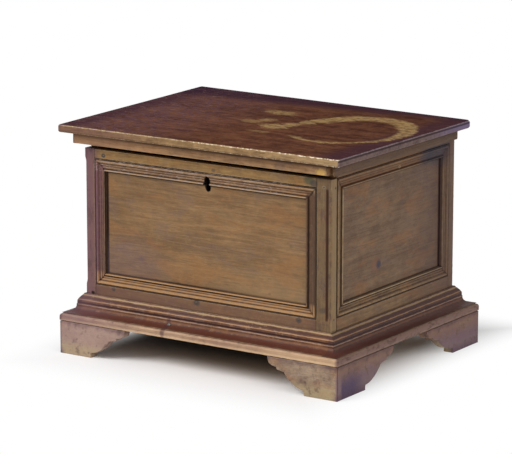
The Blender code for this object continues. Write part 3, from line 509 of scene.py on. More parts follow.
def shade_keyhole(finish):
    """The painted shade inside the keyhole, near black, which its walls and the lock behind it
    share.
    """
    finish.lay(KEYHOLE_SHADE, finish.distance(KEY_MIDDLE, KEY_SPREAD).between(1.05, 0.95))


finish = walnut("front_walnut", srgb(148, 117, 74), srgb(104, 76, 48), WORN_FRONT, chalk=0.45,
                mottle=0.28)
front_marks(finish)
front_look = finish.close(0.52 + finish.rubbed * 0.15, 0.00025)


def post_outline(width, thickness, quirked):
    """Plan of a front post, from its outer corner: an arc for the bead, and its quirk."""
    centre = BEAD_RADIUS + (BEAD_SINK if quirked else 0)
    last = 270
    if quirked:
        last = 360 - math.degrees(math.asin((centre - QUIRK_DEPTH) / BEAD_RADIUS))
    angles = np.radians(np.linspace(180, last, BEAD_TURNS))
    bead = np.stack([BEAD_RADIUS + BEAD_RADIUS * np.cos(angles),
                     centre + BEAD_RADIUS * np.sin(angles)], axis=-1)
    rest = [(width, 0), (width, thickness), (0, thickness)]
    if quirked:
        quirk = bead[-1, 0] + QUIRK_WIDTH
        rest = [(quirk, QUIRK_DEPTH), (quirk, 0)] + rest
    return np.concatenate([bead, rest])


def filled_corner(fine, centre):
    """The outline with its corner left square: a point of the bead goes out from the bead's
    centre to the square round it, and a point of the quirk goes out to the face."""
    away = fine - centre
    largest = np.abs(away).max(axis=1, keepdims=True)
    on_bead = (away[:, 0] <= 0) & (away[:, 1] <= 0)
    past_bead = (away[:, 0] > 0) & (fine[:, 1] < centre[1])
    filled = np.where(on_bead[:, None], centre - np.abs(away) / largest * centre, fine)
    filled[past_bead, 1] = 0
    return filled


for hand, side in HANDS:
    low, high = box_of(f"front_post_{hand}")
    outline = post_outline(high[0] - low[0], high[1] - low[1], side > 0)
    fine, normal, edge, give = softened(outline, POST_ARRIS)
    bead_centre = np.array([BEAD_RADIUS, BEAD_RADIUS + (BEAD_SINK if side > 0 else 0)])
    filled = filled_corner(fine, bead_centre)
    run = (high[2] - low[2]) * stations(high[2] - low[2])[:, None] + 0 * edge
    height = low[2] + run[:, :1, None]
    worked = (np.clip((height - STOP_LOW) / STOP_LENGTH, 0, 1)
              * np.clip((STOP_HIGH - height) / STOP_LENGTH, 0, 1))
    sections = filled + (fine - filled) * worked
    corner = np.array([high[0] if side > 0 else low[0], low[1], low[2]])
    directions = np.array([-side * RIGHT, BACK, UP])
    edges = edge * (UNWORKED_SHOW + (1 - UNWORKED_SHOW) * worked[..., 0])
    points, told = carried(sections, outward(sections), edges, give, corner, directions, run,
                           POST_WEAR, 11 + side)
    solid(f"worn_front_post_{hand}", points, told, front_look, "carcass",
          [f"front_post_{hand}"])

# Front rails
# Two walnut rails between the front posts, tenoned into them, which hold the panel from
# above and below in their grooves.

SQUARE = ((0, 0), (1, 0), (1, 1), (0, 1))       # in shares of a piece's width and height
CORNER_DIRT_AND_SHADE = 0.0011            # how far dirt, and painted shade, reaches from the corner between two pieces
JOINT_GAP = 0.0003


def member(name, outline, directions, look, body="carcass", mitres=("", ""),
           span=None, arris=0.0010, wear=0.0006, ragged=0.0, corners=(), seed=0):
    """A straight piece that fills its node's box: an outline in shares of the box, carried
    along its length. At an inner mitre the end draws in by a, the distance across, and at
    an outer mitre by the width less a. A span sets where the length starts and ends.
    Dirt, and on the panel mouldings painted shade, also gathers in the corners that the
    piece makes with its neighbours."""
    low, high = box_of(name)
    directions = np.array(directions, float)
    corner = np.where(directions.sum(axis=0) > 0, low, high)
    size = np.abs(directions @ (high - low))
    fine, normal, edge, give = softened(np.array(outline) * size[:2], arris)
    a = fine[:, 0]
    draw = {"": 0 * a, "inner": a, "outer": size[0] - a}
    start, end = span or (0, size[2])
    starts = start + draw[mitres[0]]
    ends = end - draw[mitres[1]]
    if ragged:
        spots = np.stack([fine[:, 0], fine[:, 1], 0 * a], axis=-1)
        ends = ends - ragged * unevenness(spots, ROUGH_SIZE, seed + 5)
    t = stations(end - start)[:, None]
    run = starts * (1 - t) + ends * t
    points, told = carried(fine, normal, edge, give, corner, directions, run, wear, seed)
    # On the panel mouldings these corners also carry painted shade.
    for spot in corners:
        away = np.sum((fine - np.array(spot) * size[:2]) ** 2, axis=1)
        told["grime"] += np.exp(-away / (2 * CORNER_DIRT_AND_SHADE ** 2))
    return solid(f"worn_{name}", points, told, look, body, [name])


def span_between(name, before, after, axis):
    """Where a rail starts and ends between two posts, less a small gap at each."""
    start = box_of(name)[0][axis]
    return (box_of(before)[1][axis] + JOINT_GAP - start,
            box_of(after)[0][axis] - JOINT_GAP - start)


for number, name in enumerate(("front_top_rail", "front_bottom_rail")):
    member(name, SQUARE, (UP, -BACK, RIGHT), front_look, wear=0.0007,
           span=span_between(name, "front_post_left", "front_post_right", 0),
           seed=21 + number)

# Side frames
# Each side has two walnut rails between the front post and a square back post. The top
# rail is rebated below its face for the moulding. The walnut is browner than the front's.

SIDE_RECESS = 0.0047
SIDE_RAIL_FACE = 0.0062
SIDE_X = 0.2
WORN_SIDE = srgb(166, 140, 108)
BLUE_STAIN = srgb(58, 56, 66)
SIDE_WASHES = (
    (srgb(92, 54, 38), 0.42, ("z", 0.2685, 0.2715)), (srgb(84, 64, 62), 0.6, ("y", 0.0, 0.16)),
    (srgb(84, 58, 54), 0.2, ("z", 0.106, 0.100)),
)
SIDE_STAINS = (                 # y, z, radius, tone and strength of each
    (-0.1467, 0.2757, 0.0040, IRON_STAIN, 0.8), (-0.1595, 0.0998, 0.0040, DIRT_AND_SHADE_TONE, 0.9),
    (-0.1486, 0.1183, 0.0030, DIRT_AND_SHADE_TONE, 0.9), (0.0158, 0.2764, 0.0022, PALE_STAIN, 0.9),
    (0.1130, 0.2850, 0.0300, BLUE_STAIN, 0.7), (0.0850, 0.2790, 0.0160, BLUE_STAIN, 0.6),
    (-0.0400, 0.1520, 0.0120, srgb(128, 86, 62), 0.5),
    (-0.0330, 0.1511, 0.0070, srgb(60, 58, 68), 0.9),
)


def side_marks(finish):
    """The sides are redder under the lid and at the foot, grow purple towards the back, and
    keep stains where iron touched them."""
    finish.wash(*SIDE_WASHES)
    for y, z, radius, tone, strength in SIDE_STAINS:
        finish.stain(tone, strength, (SIDE_X, y, z), (0.008, radius, radius))


finish = walnut("side_walnut", srgb(150, 122, 88), srgb(100, 76, 56), WORN_SIDE, chalk=0.2,
                mottle=0.3)
side_marks(finish)
side_look = finish.close(0.50 + finish.rubbed * 0.15, 0.00025)

for hand, side in HANDS:
    inward = -side * RIGHT
    for number, place in enumerate(("top", "bottom")):
        name = f"{hand}_{place}_rail"
        low, high = box_of(name)
        size = high - low
        shape = SQUARE
        if place == "top":
            face = 1 - SIDE_RAIL_FACE / size[2]
            recess = SIDE_RECESS / size[0]
            shape = [(recess, 0), (1, 0), (1, 1), (0, 1), (0, face), (recess, face)]
        span = span_between(name, f"front_post_{hand}", f"back_post_{hand}", 1)
        member(name, shape, (inward, UP, BACK), side_look,
               span=span, wear=0.0005, seed=31 + 4 * side + number)
    member(f"back_post_{hand}", SQUARE, (inward, -BACK, UP), side_look,
           wear=0.0009, seed=41 + side)

# Panels
# A single walnut board in each frame. The keyhole is sawn and filed through the front one,
# with no plate round it.

KEY_X, KEY_Z = 0.001, 0.266
KEY_ROUND = 0.0042
KEY_SLOT = 0.0068
KEY_HEIGHT = 0.0212
KEY_LEAN = 0.0013
KEY_STEPS = 24
KEY_CUT = (-0.170, -0.146)      # in front of the moulding to behind the panel
MOULDING_WIDTH = 0.0172
RIM_ROUGHNESS = 0.0012          # how far the edge of the dirt wanders


def shade_panel_rim(finish, prefix, axis, depth):
    """Dirt and painted shade on a panel along the foot of its mouldings, in from the rectangle
    that they leave, and a broad black line of painted shadow of this depth, in from the
    lower end of an axis or, below zero, from its upper end."""
    low = box_of(f"{prefix}_moulding_bottom")[0]
    high = box_of(f"{prefix}_moulding_top")[1]
    middle, half = (low + high) / 2, (high - low) / 2 - MOULDING_WIDTH
    place = (finish.side, finish.depth)[axis]
    across = abs(place - middle[axis]) - half[axis]
    over = abs(finish.height - middle[2]) - half[2]
    rough = finish.noise(finish.place, (200, 200, 200), detail=3) * RIM_ROUGHNESS
    rim = across.either(over) + rough
    finish.lay(DIRT_AND_SHADE_TONE, rim.between(-0.0014, 0.0002) * 0.85)
    sign = math.copysign(1, depth)
    start = middle[axis] - sign * half[axis]
    line = place + (rough - RIM_ROUGHNESS / 2) * (0.6 * sign)
    finish.lay(srgb(40, 24, 24), line.between(start + depth, start + depth * 0.6) * 0.9)


finish = walnut("front_panel_walnut", srgb(140, 109, 75), srgb(97, 73, 51), WORN_FRONT,
                mottle=0.14)
front_marks(finish)
# Painted shadow of the left moulding on the front panel, and painted shade along all its
# mouldings.
shade_panel_rim(finish, "front", 0, 0.0036)
low_left = finish.distance((-0.13, FRONT_Y, 0.13), (0.09, 0.10, 0.06)).between(1.0, 0.3)
low_right = finish.distance((0.12, FRONT_Y, 0.10), (0.14, 0.14, 0.07)).between(1.0, 0.2)
finish.lay(srgb(104, 86, 92), low_left * 0.3)
finish.lay(srgb(152, 124, 90), low_right * 0.4)
panel_look = finish.close(0.48, 0.0003)

finish = walnut("side_panel_walnut", srgb(132, 106, 82), srgb(88, 67, 52), WORN_SIDE,
                bands=0.5, cloud=0.3)
side_marks(finish)
# Painted shadow of the back moulding on the side panels, and painted shade along all their
# mouldings.
shade_panel_rim(finish, "right", 1, -0.0055)
side_panel_look = finish.close(0.5, 0.0003)


def keyhole():
    """A cutter through the front: most of a circle, and a slot with a round foot."""
    half = KEY_SLOT / 2
    meet = math.asin(half / KEY_ROUND)
    top = np.linspace(meet - RIGHT_ANGLE, 3 * RIGHT_ANGLE - meet, KEY_STEPS)
    foot = np.linspace(math.pi, 2 * math.pi, KEY_STEPS)
    low = KEY_ROUND + half - KEY_HEIGHT
    outline = np.concatenate([
        np.stack([KEY_ROUND * np.cos(top), KEY_ROUND * np.sin(top)], axis=-1),
        np.stack([KEY_LEAN + half * np.cos(foot), low + half * np.sin(foot)], axis=-1)])
    count = len(outline)
    points = [(KEY_X + x, y, KEY_Z + z) for y in KEY_CUT for x, z in outline.tolist()]
    index = np.arange(count)
    after = np.roll(index, -1)
    faces = np.stack([index, index + count, after + count, after], axis=-1).tolist()
    mesh = bpy.data.meshes.new("keyhole")
    mesh.from_pydata(points, [], faces + [index.tolist(), (index[::-1] + count).tolist()])
    return placed("keyhole", mesh)


def cut_keyhole(piece):
    """Cut the keyhole through a piece and keep the result as its mesh."""
    cutter = keyhole()
    cut = piece.modifiers.new("keyhole", "BOOLEAN")
    cut.operation = "DIFFERENCE"
    cut.object = cutter
    cut.use_self = True
    graph = bpy.context.evaluated_depsgraph_get()
    mesh = bpy.data.meshes.new_from_object(piece.evaluated_get(graph))
    piece.modifiers.clear()
    piece.data = mesh
    bpy.data.objects.remove(cutter, do_unlink=True)


def span_under(prefix, axis):
    """Where a panel starts and ends, which is where the mouldings on it do."""
    start = box_of(f"{prefix}_panel")[0][axis]
    return [corner[axis] - start for corner in box_of(f"{prefix}_moulding_bottom")]


cut_keyhole(member("front_panel", SQUARE, (UP, -BACK, RIGHT), panel_look,
                   span=span_under("front", 0), seed=52))
for hand, side in HANDS:
    member(f"{hand}_panel", SQUARE, (UP, side * RIGHT, BACK), side_panel_look,
           span=span_under(hand, 1), seed=54 + side)

# Panel mouldings
# Strips of walnut planed to one section, mitred and planted round each panel: a fillet, a
# quirk, a bead, a slope, a groove, and a second bead at the drop to the panel.

PANEL_MOULDING_SHARES = (
    (0.000, 0.00), (0.000, 0.90), (0.010, 0.94), (0.045, 0.94), (0.055, 0.74),
    (0.095, 0.74), (0.110, 0.96), (0.140, 1.00), (0.240, 1.00), (0.280, 0.94),
    (0.300, 0.80), (0.340, 0.60), (0.370, 0.50), (0.500, 0.50), (0.530, 0.32),
    (0.600, 0.30), (0.630, 0.36), (0.730, 0.38), (0.750, 0.24), (0.800, 0.22),
    (0.820, 0.70), (0.850, 0.86), (0.890, 0.92), (0.930, 0.88), (0.955, 0.70),
    (0.965, 0.10), (1.000, 0.06), (1.000, 0.00),
)
MOULDING_DIRT_AND_SHADE = {               # places of the section where dirt and painted shade lie, in shares; the drops that face away from the light get more
    "top": ((0.99, 0.0), (0.965, 0.35), (0.0, 0.9)),
    "bottom": ((0.99, 0.0), (0.775, 0.22), (0.0, 0.9)),
    "left": ((0.99, 0.0), (0.965, 0.3), (0.96, 0.6), (0.775, 0.22), (0.0, 0.9)),
    "right": ((0.99, 0.0), (0.775, 0.22), (0.80, 0.45), (0.0, 0.9)),
}
# Where neither dirt nor painted shade lies.
CLEAN_AND_UNSHADED = ("grime", 0.5, 0.1)
UPRIGHT = (("z", 0.272, 0.262), ("z", 0.100, 0.112), CLEAN_AND_UNSHADED)

finish = walnut("front_moulding_walnut", srgb(154, 122, 90), srgb(106, 79, 58),
                srgb(174, 146, 112), dirt_and_shade_share=0.85, mottle=0.35)
front_marks(finish)
flakes = finish.noise(finish.place, (160, 600, 600), detail=5, roughness=0.75)
finish.masks["flakes"] = flakes + finish.told("worn") * 0.12 - 0.54
finish.masks["grime"] = finish.told("grime")
finish.wash(
    # Painted shade: the right member darker, as its faces turn away from the light.
    (srgb(74, 52, 42), 0.85, ("x", 0.157, 0.161), *UPRIGHT),
    (srgb(94, 60, 78), 0.7, ("x", -0.164, -0.169), *UPRIGHT),
    # Painted light: the bottom member paler, as it faces up to the light.
    (srgb(178, 134, 90), 0.5, ("z", 0.120, 0.113), CLEAN_AND_UNSHADED),
    (srgb(160, 142, 134), 0.75, ("flakes", 0.0, 0.12), ("z", 0.256, 0.260),
     ("x", 0.17, 0.10)))
# The painted shade of the keyhole reaches the moulding it cuts.
shade_keyhole(finish)
moulding_look = finish.close(0.5 + finish.rubbed * 0.2, 0.00025)

for number, (prefix, outwards, aside, look, slot) in enumerate((
        ("front", -BACK, RIGHT, moulding_look, "walnut_front"),
        ("right", RIGHT, BACK, side_look, "walnut_side"),
        ("left", -RIGHT, -BACK, side_look, "walnut_side"))):
    for turn, (place, across, along) in enumerate((
            ("top", -UP, aside), ("bottom", UP, aside), ("left", aside, UP),
            ("right", -aside, UP))):
        piece = member(f"{prefix}_moulding_{place}", PANEL_MOULDING_SHARES,
                       (across, outwards, along), look, mitres=("inner", "inner"),
                       arris=0.0005, wear=0.0003, corners=MOULDING_DIRT_AND_SHADE[place],
                       seed=60 + 4 * number + turn)
        if (prefix, place) == ("front", "top"):
            cut_keyhole(piece)

# Back and bottom
# Bare pine boards: one nailed inside the back posts, with a walnut rail below it outside,
# and one that lies on the plinth as the floor of the coffer.

finish = walnut("bare_pine", srgb(188, 152, 108), srgb(146, 108, 70), srgb(190, 160, 122),
                mottle=0.1, hues=0.1, grime=srgb(70, 48, 34))
pine_look = finish.close(0.72, 0.0004)
member("back_board", SQUARE, (UP, BACK, RIGHT), pine_look, seed=81)
member("bottom_board", SQUARE, (BACK, -UP, RIGHT), pine_look, seed=82)
member("back_rail", SQUARE, (UP, BACK, RIGHT), side_look,
       span=span_between("back_rail", "back_post_left", "back_post_right", 0), seed=83)

# Base moulding and plinth
# Four mitred runs of moulding round the foot of the carcass, a fillet and ovolo over a deep
# cove, lie on a flat plinth with a rounded nose. Wax has gone red in the cove, and the
# profile carries painted highlights and painted shade in bands.

BASE_MOULDING_SHARES = (
    (0.00, 1.00), (0.09, 1.00), (0.11, 0.94), (0.18, 0.88), (0.28, 0.78), (0.36, 0.67),
    (0.38, 0.62), (0.38, 0.47), (0.41, 0.45), (0.41, 0.34),
)
COVE_CONTROL_SHARE = (0.45, 0.07)
COVE_FOOT_SHARE = (0.96, 0.03)
COVE_STEPS = 10
PLINTH_NOSE = 0.0045
PLINTH_SIZE = (0.0592, 0.0107)
NOSE_STEPS = 7
BASE_BANDS = (                  # lowest and highest place, tone and strength: pale bands are painted highlights, dark ones painted shade under the ovolo and in the cove, where the wax has also gone red
    (0.0806, 0.0824, srgb(180, 150, 112), 0.7), (0.0774, 0.0794, srgb(70, 42, 34), 0.8),
    (0.0750, 0.0762, srgb(176, 134, 96), 0.7), (0.0700, 0.0724, srgb(48, 26, 24), 0.95),
    (0.0680, 0.0692, srgb(178, 144, 120), 0.7), (0.0634, 0.0660, srgb(138, 92, 64), 0.45),
    (0.0580, 0.0622, srgb(84, 44, 34), 0.85), (0.0558, 0.0574, srgb(178, 142, 106), 0.8),
)
BAND_EDGE = 0.0002
STREAK_WAVES = (60, 60, 700)
MOULDING_SIDE = ("|x|", 0.2005, 0.2025)
PLINTH_SIDE = ("|x|", 0.221, 0.226)
NAIL_RUN = (0.0035, 0.030, 0.016)       # radii of the dark run below the nail in the cove
PLINTH_RUN = (0.0035, 0.030, 0.012)


def streaky_height(finish, reach):
    """The height, which wanders by this much in long streaks, for bands with uneven edges."""
    streak = finish.noise(finish.place, STREAK_WAVES, detail=4, roughness=0.7) - 0.5
    return finish.height + streak * reach


finish = walnut("base_walnut", srgb(110, 75, 56), srgb(62, 38, 31), srgb(164, 136, 110),
                wear=0.7, mottle=0.5)
finish.masks["level"] = streaky_height(finish, 0.0026)
finish.wash((srgb(58, 36, 36), 0.55, MOULDING_SIDE))
for low, high, tone, strength in BASE_BANDS:
    finish.wash((tone, strength, ("level", low - BAND_EDGE, low + BAND_EDGE),
                 ("level", high + BAND_EDGE, high - BAND_EDGE)))
finish.wash((PURPLE_WAX, 0.5, ("x", -0.12, -0.22)), (srgb(70, 48, 48), 0.25, MOULDING_SIDE))
finish.stain(srgb(66, 40, 44), 0.6, (-0.0535, -0.178, 0.060), NAIL_RUN, ragged=0.9)
base_look = finish.close(0.42 + finish.rubbed * 0.2, 0.00025)

finish = walnut("plinth_walnut", srgb(200, 168, 136), srgb(140, 108, 92), srgb(190, 164, 136),
                chalk=0.3, bands=0.4, mottle=0.45, hues=0.15)
finish.masks["level"] = streaky_height(finish, 0.003)
finish.masks["blotch"] = finish.noise(finish.place, (70, 70, 160), detail=6, roughness=0.75)
finish.wash(
    (srgb(198, 166, 130), 0.6, ("level", 0.0500, 0.0485)),
    (srgb(112, 82, 66), 0.45, ("level", 0.0500, 0.0508), ("level", 0.0548, 0.0538)),
    (srgb(206, 172, 132), 0.35, ("x", 0.02, 0.18)),
    (srgb(118, 90, 100), 0.5, ("x", -0.08, -0.20)),
    (srgb(104, 78, 76), 0.8, PLINTH_SIDE),
    (srgb(80, 52, 46), 0.7, PLINTH_SIDE, ("blotch", 0.50, 0.62)))
finish.stain(srgb(70, 44, 50), 0.6, (-0.0535, -0.185, 0.058), PLINTH_RUN, ragged=0.9)
plinth_look = finish.close(0.46 + finish.rubbed * 0.2, 0.00025)


def bend(start, control, end, count):
    """The quadratic curve (1-t)^2 A + 2t(1-t) P + t^2 B as points, without A."""
    t = np.linspace(0, 1, count)[1:, None]
    start, control, end = np.array([start, control, end])
    return (1 - t) ** 2 * start + 2 * t * (1 - t) * control + t ** 2 * end


cove = bend(BASE_MOULDING_SHARES[-1], COVE_CONTROL_SHARE, COVE_FOOT_SHARE, COVE_STEPS)
base_outline = np.concatenate([
    BASE_MOULDING_SHARES, cove, [(1, COVE_FOOT_SHARE[1]), (1, 0), (0, 0)]])
angles = np.radians(np.linspace(0, 90, NOSE_STEPS))
nose = PLINTH_NOSE / np.array(PLINTH_SIZE)
plinth_outline = np.concatenate([
    [(0, 1), (0, 0), (1, 0)],
    np.stack([1 - nose[0] + nose[0] * np.cos(angles),
              1 - nose[1] + nose[1] * np.sin(angles)], axis=-1)])
BASE_RUNS = (("front", -BACK, RIGHT), ("right", RIGHT, BACK), ("back", BACK, -RIGHT),
             ("left", -RIGHT, -BACK))
for number, (place, outwards, along) in enumerate(BASE_RUNS):
    ways = (outwards, UP, along)
    member(f"base_moulding_{place}", base_outline, ways, base_look,
           mitres=("outer", "outer"), arris=0.0007, wear=0.0006,
           corners=((0.0, 1.0),), seed=91 + number)
    member(f"plinth_{place}", plinth_outline, ways, plinth_look,
           mitres=("outer", "outer"), arris=0.0012, wear=0.0009, seed=96 + number)

# Feet
# Two bracket feet of walnut at each corner, sawn to an ogee with a stepped shoulder and
# mitred together. They are rubbed and bruised, and dark where they meet the floor.

FOOT_HEIGHT = 0.046
FOOT_THICKNESS = 0.015
FRONT_FOOT = (0.110, 0.052)     # length, and length of the toe
SIDE_FOOT = (0.142, 0.070)
TOE_SHARES = ((0.00, 0.00), (0.00, 0.15))
CURVE_CONTROL_SHARE = (0.30, 0.17)
CURVE_END_SHARE = (0.54, 0.60)
STEP_SHARES = (
    (0.74, 0.65), (0.75, 0.72), (0.86, 0.74), (0.95, 0.80), (0.98, 0.89), (1.00, 1.00),
)
FOOT_CURVE_STEPS = 14
FOOT_EASE = 0.0010              # the rounding of a foot's sawn edges
FOOT_EASE_STEPS = 4
FOOT_PULL = 0.000225            # off each side of the mitre
CORNER_EASE_REACH = 0.003
FOOT_SHOW = (0.3, 0.5)          # how worn a sawn edge looks, evenly and in dents

finish = walnut("foot_walnut", srgb(160, 138, 114), srgb(112, 90, 78), srgb(184, 164, 144),
                chalk=0.2, bands=0.2, cloud=0.6, mottle=0.4)
bruise = finish.noise(finish.place, (75, 75, 75), detail=4, roughness=0.65)
finish.masks.update({"bruise": bruise, "rough y": finish.depth + bruise * 0.02,
                     "rough z": finish.height + bruise * 0.02})
side_tone = finish.mix(srgb(108, 84, 98), srgb(124, 94, 82),
                       (finish.height + bruise * 0.03).between(0.030, 0.056))
finish.wash(
    (srgb(156, 128, 122), 0.65, ("x", -0.05, -0.15)),
    (srgb(172, 154, 116), 0.5, ("rough z", 0.034, 0.018), ("|x|", 0.10, 0.19)),
    (side_tone, 0.8, ("|x|", 0.222, 0.2265)),
    (srgb(66, 52, 82), 0.8, ("rough y", -0.10, -0.14), ("y", -0.178, -0.172),
     ("|x|", 0.2255, 0.2268), ("z", 0.042, 0.012)),
    (srgb(78, 56, 72), 0.6, ("z", 0.014, 0.001), ("|x|", 0.215, 0.226)),
    (srgb(82, 58, 66), 0.55, ("rough z", 0.048, 0.056)),
    (srgb(78, 60, 56), 0.55, ("bruise", 0.54, 0.68)))
foot_look = finish.close(0.56, 0.0004)


def foot(name, outwards, along, sizes, seed):
    """A bracket foot: its face outline is carried through its thickness, drawn in by
    FOOT_EASE (1 - sin) at the faces while it comes forward by FOOT_EASE (1 - cos), and it
    starts no nearer the corner than it is deep, which makes the mitre."""
    length, toe = sizes
    ogee = bend(TOE_SHARES[-1], CURVE_CONTROL_SHARE, CURVE_END_SHARE, FOOT_CURVE_STEPS)
    shares = np.concatenate([TOE_SHARES, ogee, STEP_SHARES])
    face = np.array([toe, 0]) + shares * np.array([length - toe, FOOT_HEIGHT])
    outline = np.concatenate([[(0, 0)], face, [(0, FOOT_HEIGHT)]])
    fine, normal, edge, give = softened(outline, FOOT_EASE)
    angles = np.linspace(0, RIGHT_ANGLE, FOOT_EASE_STEPS)
    inset = FOOT_EASE * (1 - np.sin(angles))
    forward = FOOT_EASE * (1 - np.cos(angles))
    inset = np.concatenate([inset, inset[::-1]])
    depth = np.concatenate([forward, FOOT_THICKNESS - forward[::-1]])
    eased = np.clip(fine[:, :1] / CORNER_EASE_REACH, 0, 1)
    sections = fine - normal * eased * np.minimum(inset[:, None], give)[..., None]
    mitred = np.maximum(sections[..., 0], depth[:, None] + FOOT_PULL)
    low, high = box_of(name)
    directions = np.array([along, UP, -outwards])
    corner = np.where(directions.sum(axis=0) > 0, low, high)
    points = (corner + mitred[..., None] * directions[0]
              + sections[..., 1:] * directions[1] + depth[:, None, None] * directions[2])
    dents = unevenness(points, ROUGH_SIZE, seed)
    rim = np.minimum(depth, FOOT_THICKNESS - depth)[:, None]
    arris = np.clip(eased[:, 0] * (1 - rim / (2 * FOOT_EASE)), 0, 1) + 0 * dents
    shift = np.random.default_rng(seed).random(3) * GRAIN_SHIFT
    grain = np.stack([mitred, sections[..., 1], depth[:, None] + 0 * mitred], axis=-1)
    told = {"worn": arris * (FOOT_SHOW[0] + FOOT_SHOW[1] * dents), "grain": grain + shift}
    return solid(f"worn_{name}", points, told, foot_look, "carcass", [name])


for number, (place, outwards, along) in enumerate(BASE_RUNS):
    sizes = FRONT_FOOT if place in ("front", "back") else SIDE_FOOT
    foot(f"foot_{place}_a", outwards, along, sizes, 101 + number)
    foot(f"foot_{place}_b", outwards, -along, sizes, 106 + number)

# Lid
# One walnut board, a little warped, with its arrises worn pale by hands. Drinks and pots
# have left a ring and smears in its dark polish.

LID_WARP = 0.0040
UPPER_ARRIS = 0.0024
LOWER_ARRIS = 0.0016
ARRIS_TURNS = 6
LID_WEAR = 0.0012
LID_SWAY = 0.0007               # how far the edge of the board wanders inwards
LID_ROUNDS = (0.0030, 0.0025, 0.0070, 0.0030)       # from the front left, anticlockwise
ROUND_TURNS = 9
EDGE_ROWS = 4
TOP_SHARES = (0.985, 0.96, 0.92, 0.86, 0.78, 0.69, 0.60, 0.50, 0.40, 0.30, 0.20, 0.10, 0.02)
FACE_DEPTH = 0.0014             # how far the colour of the lid's faces reaches into its top
RING_CENTRE = (0.1300, -0.0020, 0.322)
RING_RADII = (0.0830, 0.0920, 0.060)
LID_WEAR_SHARES = (0.15, 0.9, 0.9)      # even, in dents, and in bites
SMEARS = (                      # x, y, half width and half depth of each, and its strength
    (-0.0180, 0.0530, 0.0270, 0.0150, 0.8), (-0.0190, -0.0200, 0.0170, 0.0110, 0.6),
    (-0.0030, -0.0020, 0.0150, 0.0120, 0.7), (0.0300, -0.0360, 0.0210, 0.0170, 1.0),
    (0.0420, -0.0120, 0.0130, 0.0130, 1.0), (0.0540, 0.0130, 0.0150, 0.0140, 0.9),
    (0.0300, -0.0760, 0.0180, 0.0070, 0.5), (0.0680, 0.0380, 0.0170, 0.0180, 0.9),
)

finish = Finish("lid_walnut")
side, depth, height = finish.side, finish.depth, finish.height
drift = finish.noise(finish.grain, (3, 16, 16), detail=3).between(0.3, 0.7)
figure = finish.noise(finish.grain, (9, 120, 120), detail=7, roughness=0.72,
                      distortion=0.8).between(0.36, 0.64)
cloud = finish.noise(finish.place, (38, 60, 60), detail=8, roughness=0.78)
fibre = finish.noise(finish.grain, (45, 1300, 1300), detail=3, roughness=0.6)
chip = finish.noise(finish.place, CHIP_WAVES, detail=4, roughness=0.7)
bruises = finish.noise(finish.place, (95, 170, 170), detail=7, roughness=0.78)
tone = drift * 0.2 + figure * 0.3 + cloud.between(0.36, 0.64) * 0.5
scratch = finish.noise(finish.grain, (55, 380, 380), detail=7, roughness=0.75,
                       distortion=1.2)
finish.masks.update({
    "bruises": bruises, "left": side + cloud * 0.08, "rough z": height + chip * 0.0006,
    "edges": abs(side) - 0.192 + cloud * 0.035, "back": depth + cloud * 0.06 - side * 0.10})
leftward = finish.masks["left"].between(0.06, -0.14)
top = finish.washed(finish.mix(srgb(60, 33, 28), srgb(120, 79, 58), tone), (
    (srgb(100, 74, 88), 0.75, ("left", 0.06, -0.14), ("bruises", 0.42, 0.60)),
    (srgb(48, 28, 30), 0.6, ("bruises", 0.54, 0.66)),
    (srgb(66, 42, 52), 0.75, ("edges", 0.0, 0.035)),
    (srgb(56, 36, 50), 0.85, ("back", 0.128, 0.168))))
top = finish.mix(top, srgb(168, 136, 122), scratch.between(0.54, 0.64)
                 * (0.10 + leftward * 0.30))
wander = finish.noise(finish.place, (26, 26, 26), detail=3) - 0.5
ragged = finish.noise(finish.place, (70, 240, 240), detail=6, roughness=0.78) - 0.5
radius = finish.distance(RING_CENTRE, RING_RADII) + wander * 0.16 + ragged * 0.30
rear = depth.between(-0.075, 0.045)
rim = 1.05 + depth.between(0.050, 0.085) * 0.07
inner = rim - (0.085 + rear * 0.20)
ring = (radius - rim).between(0.03, -0.02) * (radius - inner).between(-0.05, 0.04)
gap = (side + wander * 0.02).between(0.104, 0.088) * depth.between(-0.084, -0.072)
ring = ring * (1 - gap * depth.between(0.030, 0.012))
stain = ring
for x, y, across, deep, strength in SMEARS:
    patch = finish.distance((x, y, RING_CENTRE[2]), (across, deep, RING_RADII[2]))
    patch = patch + ragged * 2.6 + wander * 0.8
    stain = stain.either(patch.between(1.2, 0.65) * strength)
faded = bruises.between(0.62, 0.40)
patchy = finish.noise(finish.place, (85, 130, 130), detail=4, roughness=0.7)
top = finish.mix(top, srgb(166, 137, 92), stain * (0.22 + faded * 0.25
                                                    + patchy.between(0.40, 0.56) * 0.48))
mottled = tone * 0.6 + faded * 0.4
front_face = finish.washed(finish.mix(srgb(98, 74, 52), srgb(160, 130, 92), mottled), (
    (srgb(180, 152, 116), 0.3, ("x", 0.10, 0.20)),
    (srgb(96, 64, 64), 0.65, ("x", -0.03, -0.17)),
    # Painted shadow along the lower edge of the front face.
    (srgb(66, 42, 34), 0.85, ("z", 0.3138, 0.3118))))
right_face = finish.washed(finish.mix(srgb(86, 70, 70), srgb(134, 114, 108), mottled), (
    (srgb(124, 110, 140), 0.9, ("y", 0.02, 0.16)),
    (srgb(48, 34, 36), 0.7, ("rough z", 0.3174, 0.3180), ("z", 0.3202, 0.3196))))
low, high = box_of("lid_board")
bare_wood = finish.mix(srgb(98, 72, 52), srgb(144, 110, 80), tone)
top = finish.mix(top, bare_wood, height.between(low[2] + FACE_DEPTH * 1.2, low[2] + 0.0002))
rough = (chip - 0.5) * 0.0012
on_front = (depth + rough).between(low[1] + FACE_DEPTH * 1.5, low[1] + FACE_DEPTH * 0.5)
on_side = (abs(side) + rough).between(high[0] - FACE_DEPTH * 1.5, high[0] - FACE_DEPTH * 0.5)
finish.colour = top
finish.lay(right_face, depth.between(high[1] - FACE_DEPTH, high[1] - 0.0004))
finish.lay(front_face, on_front)
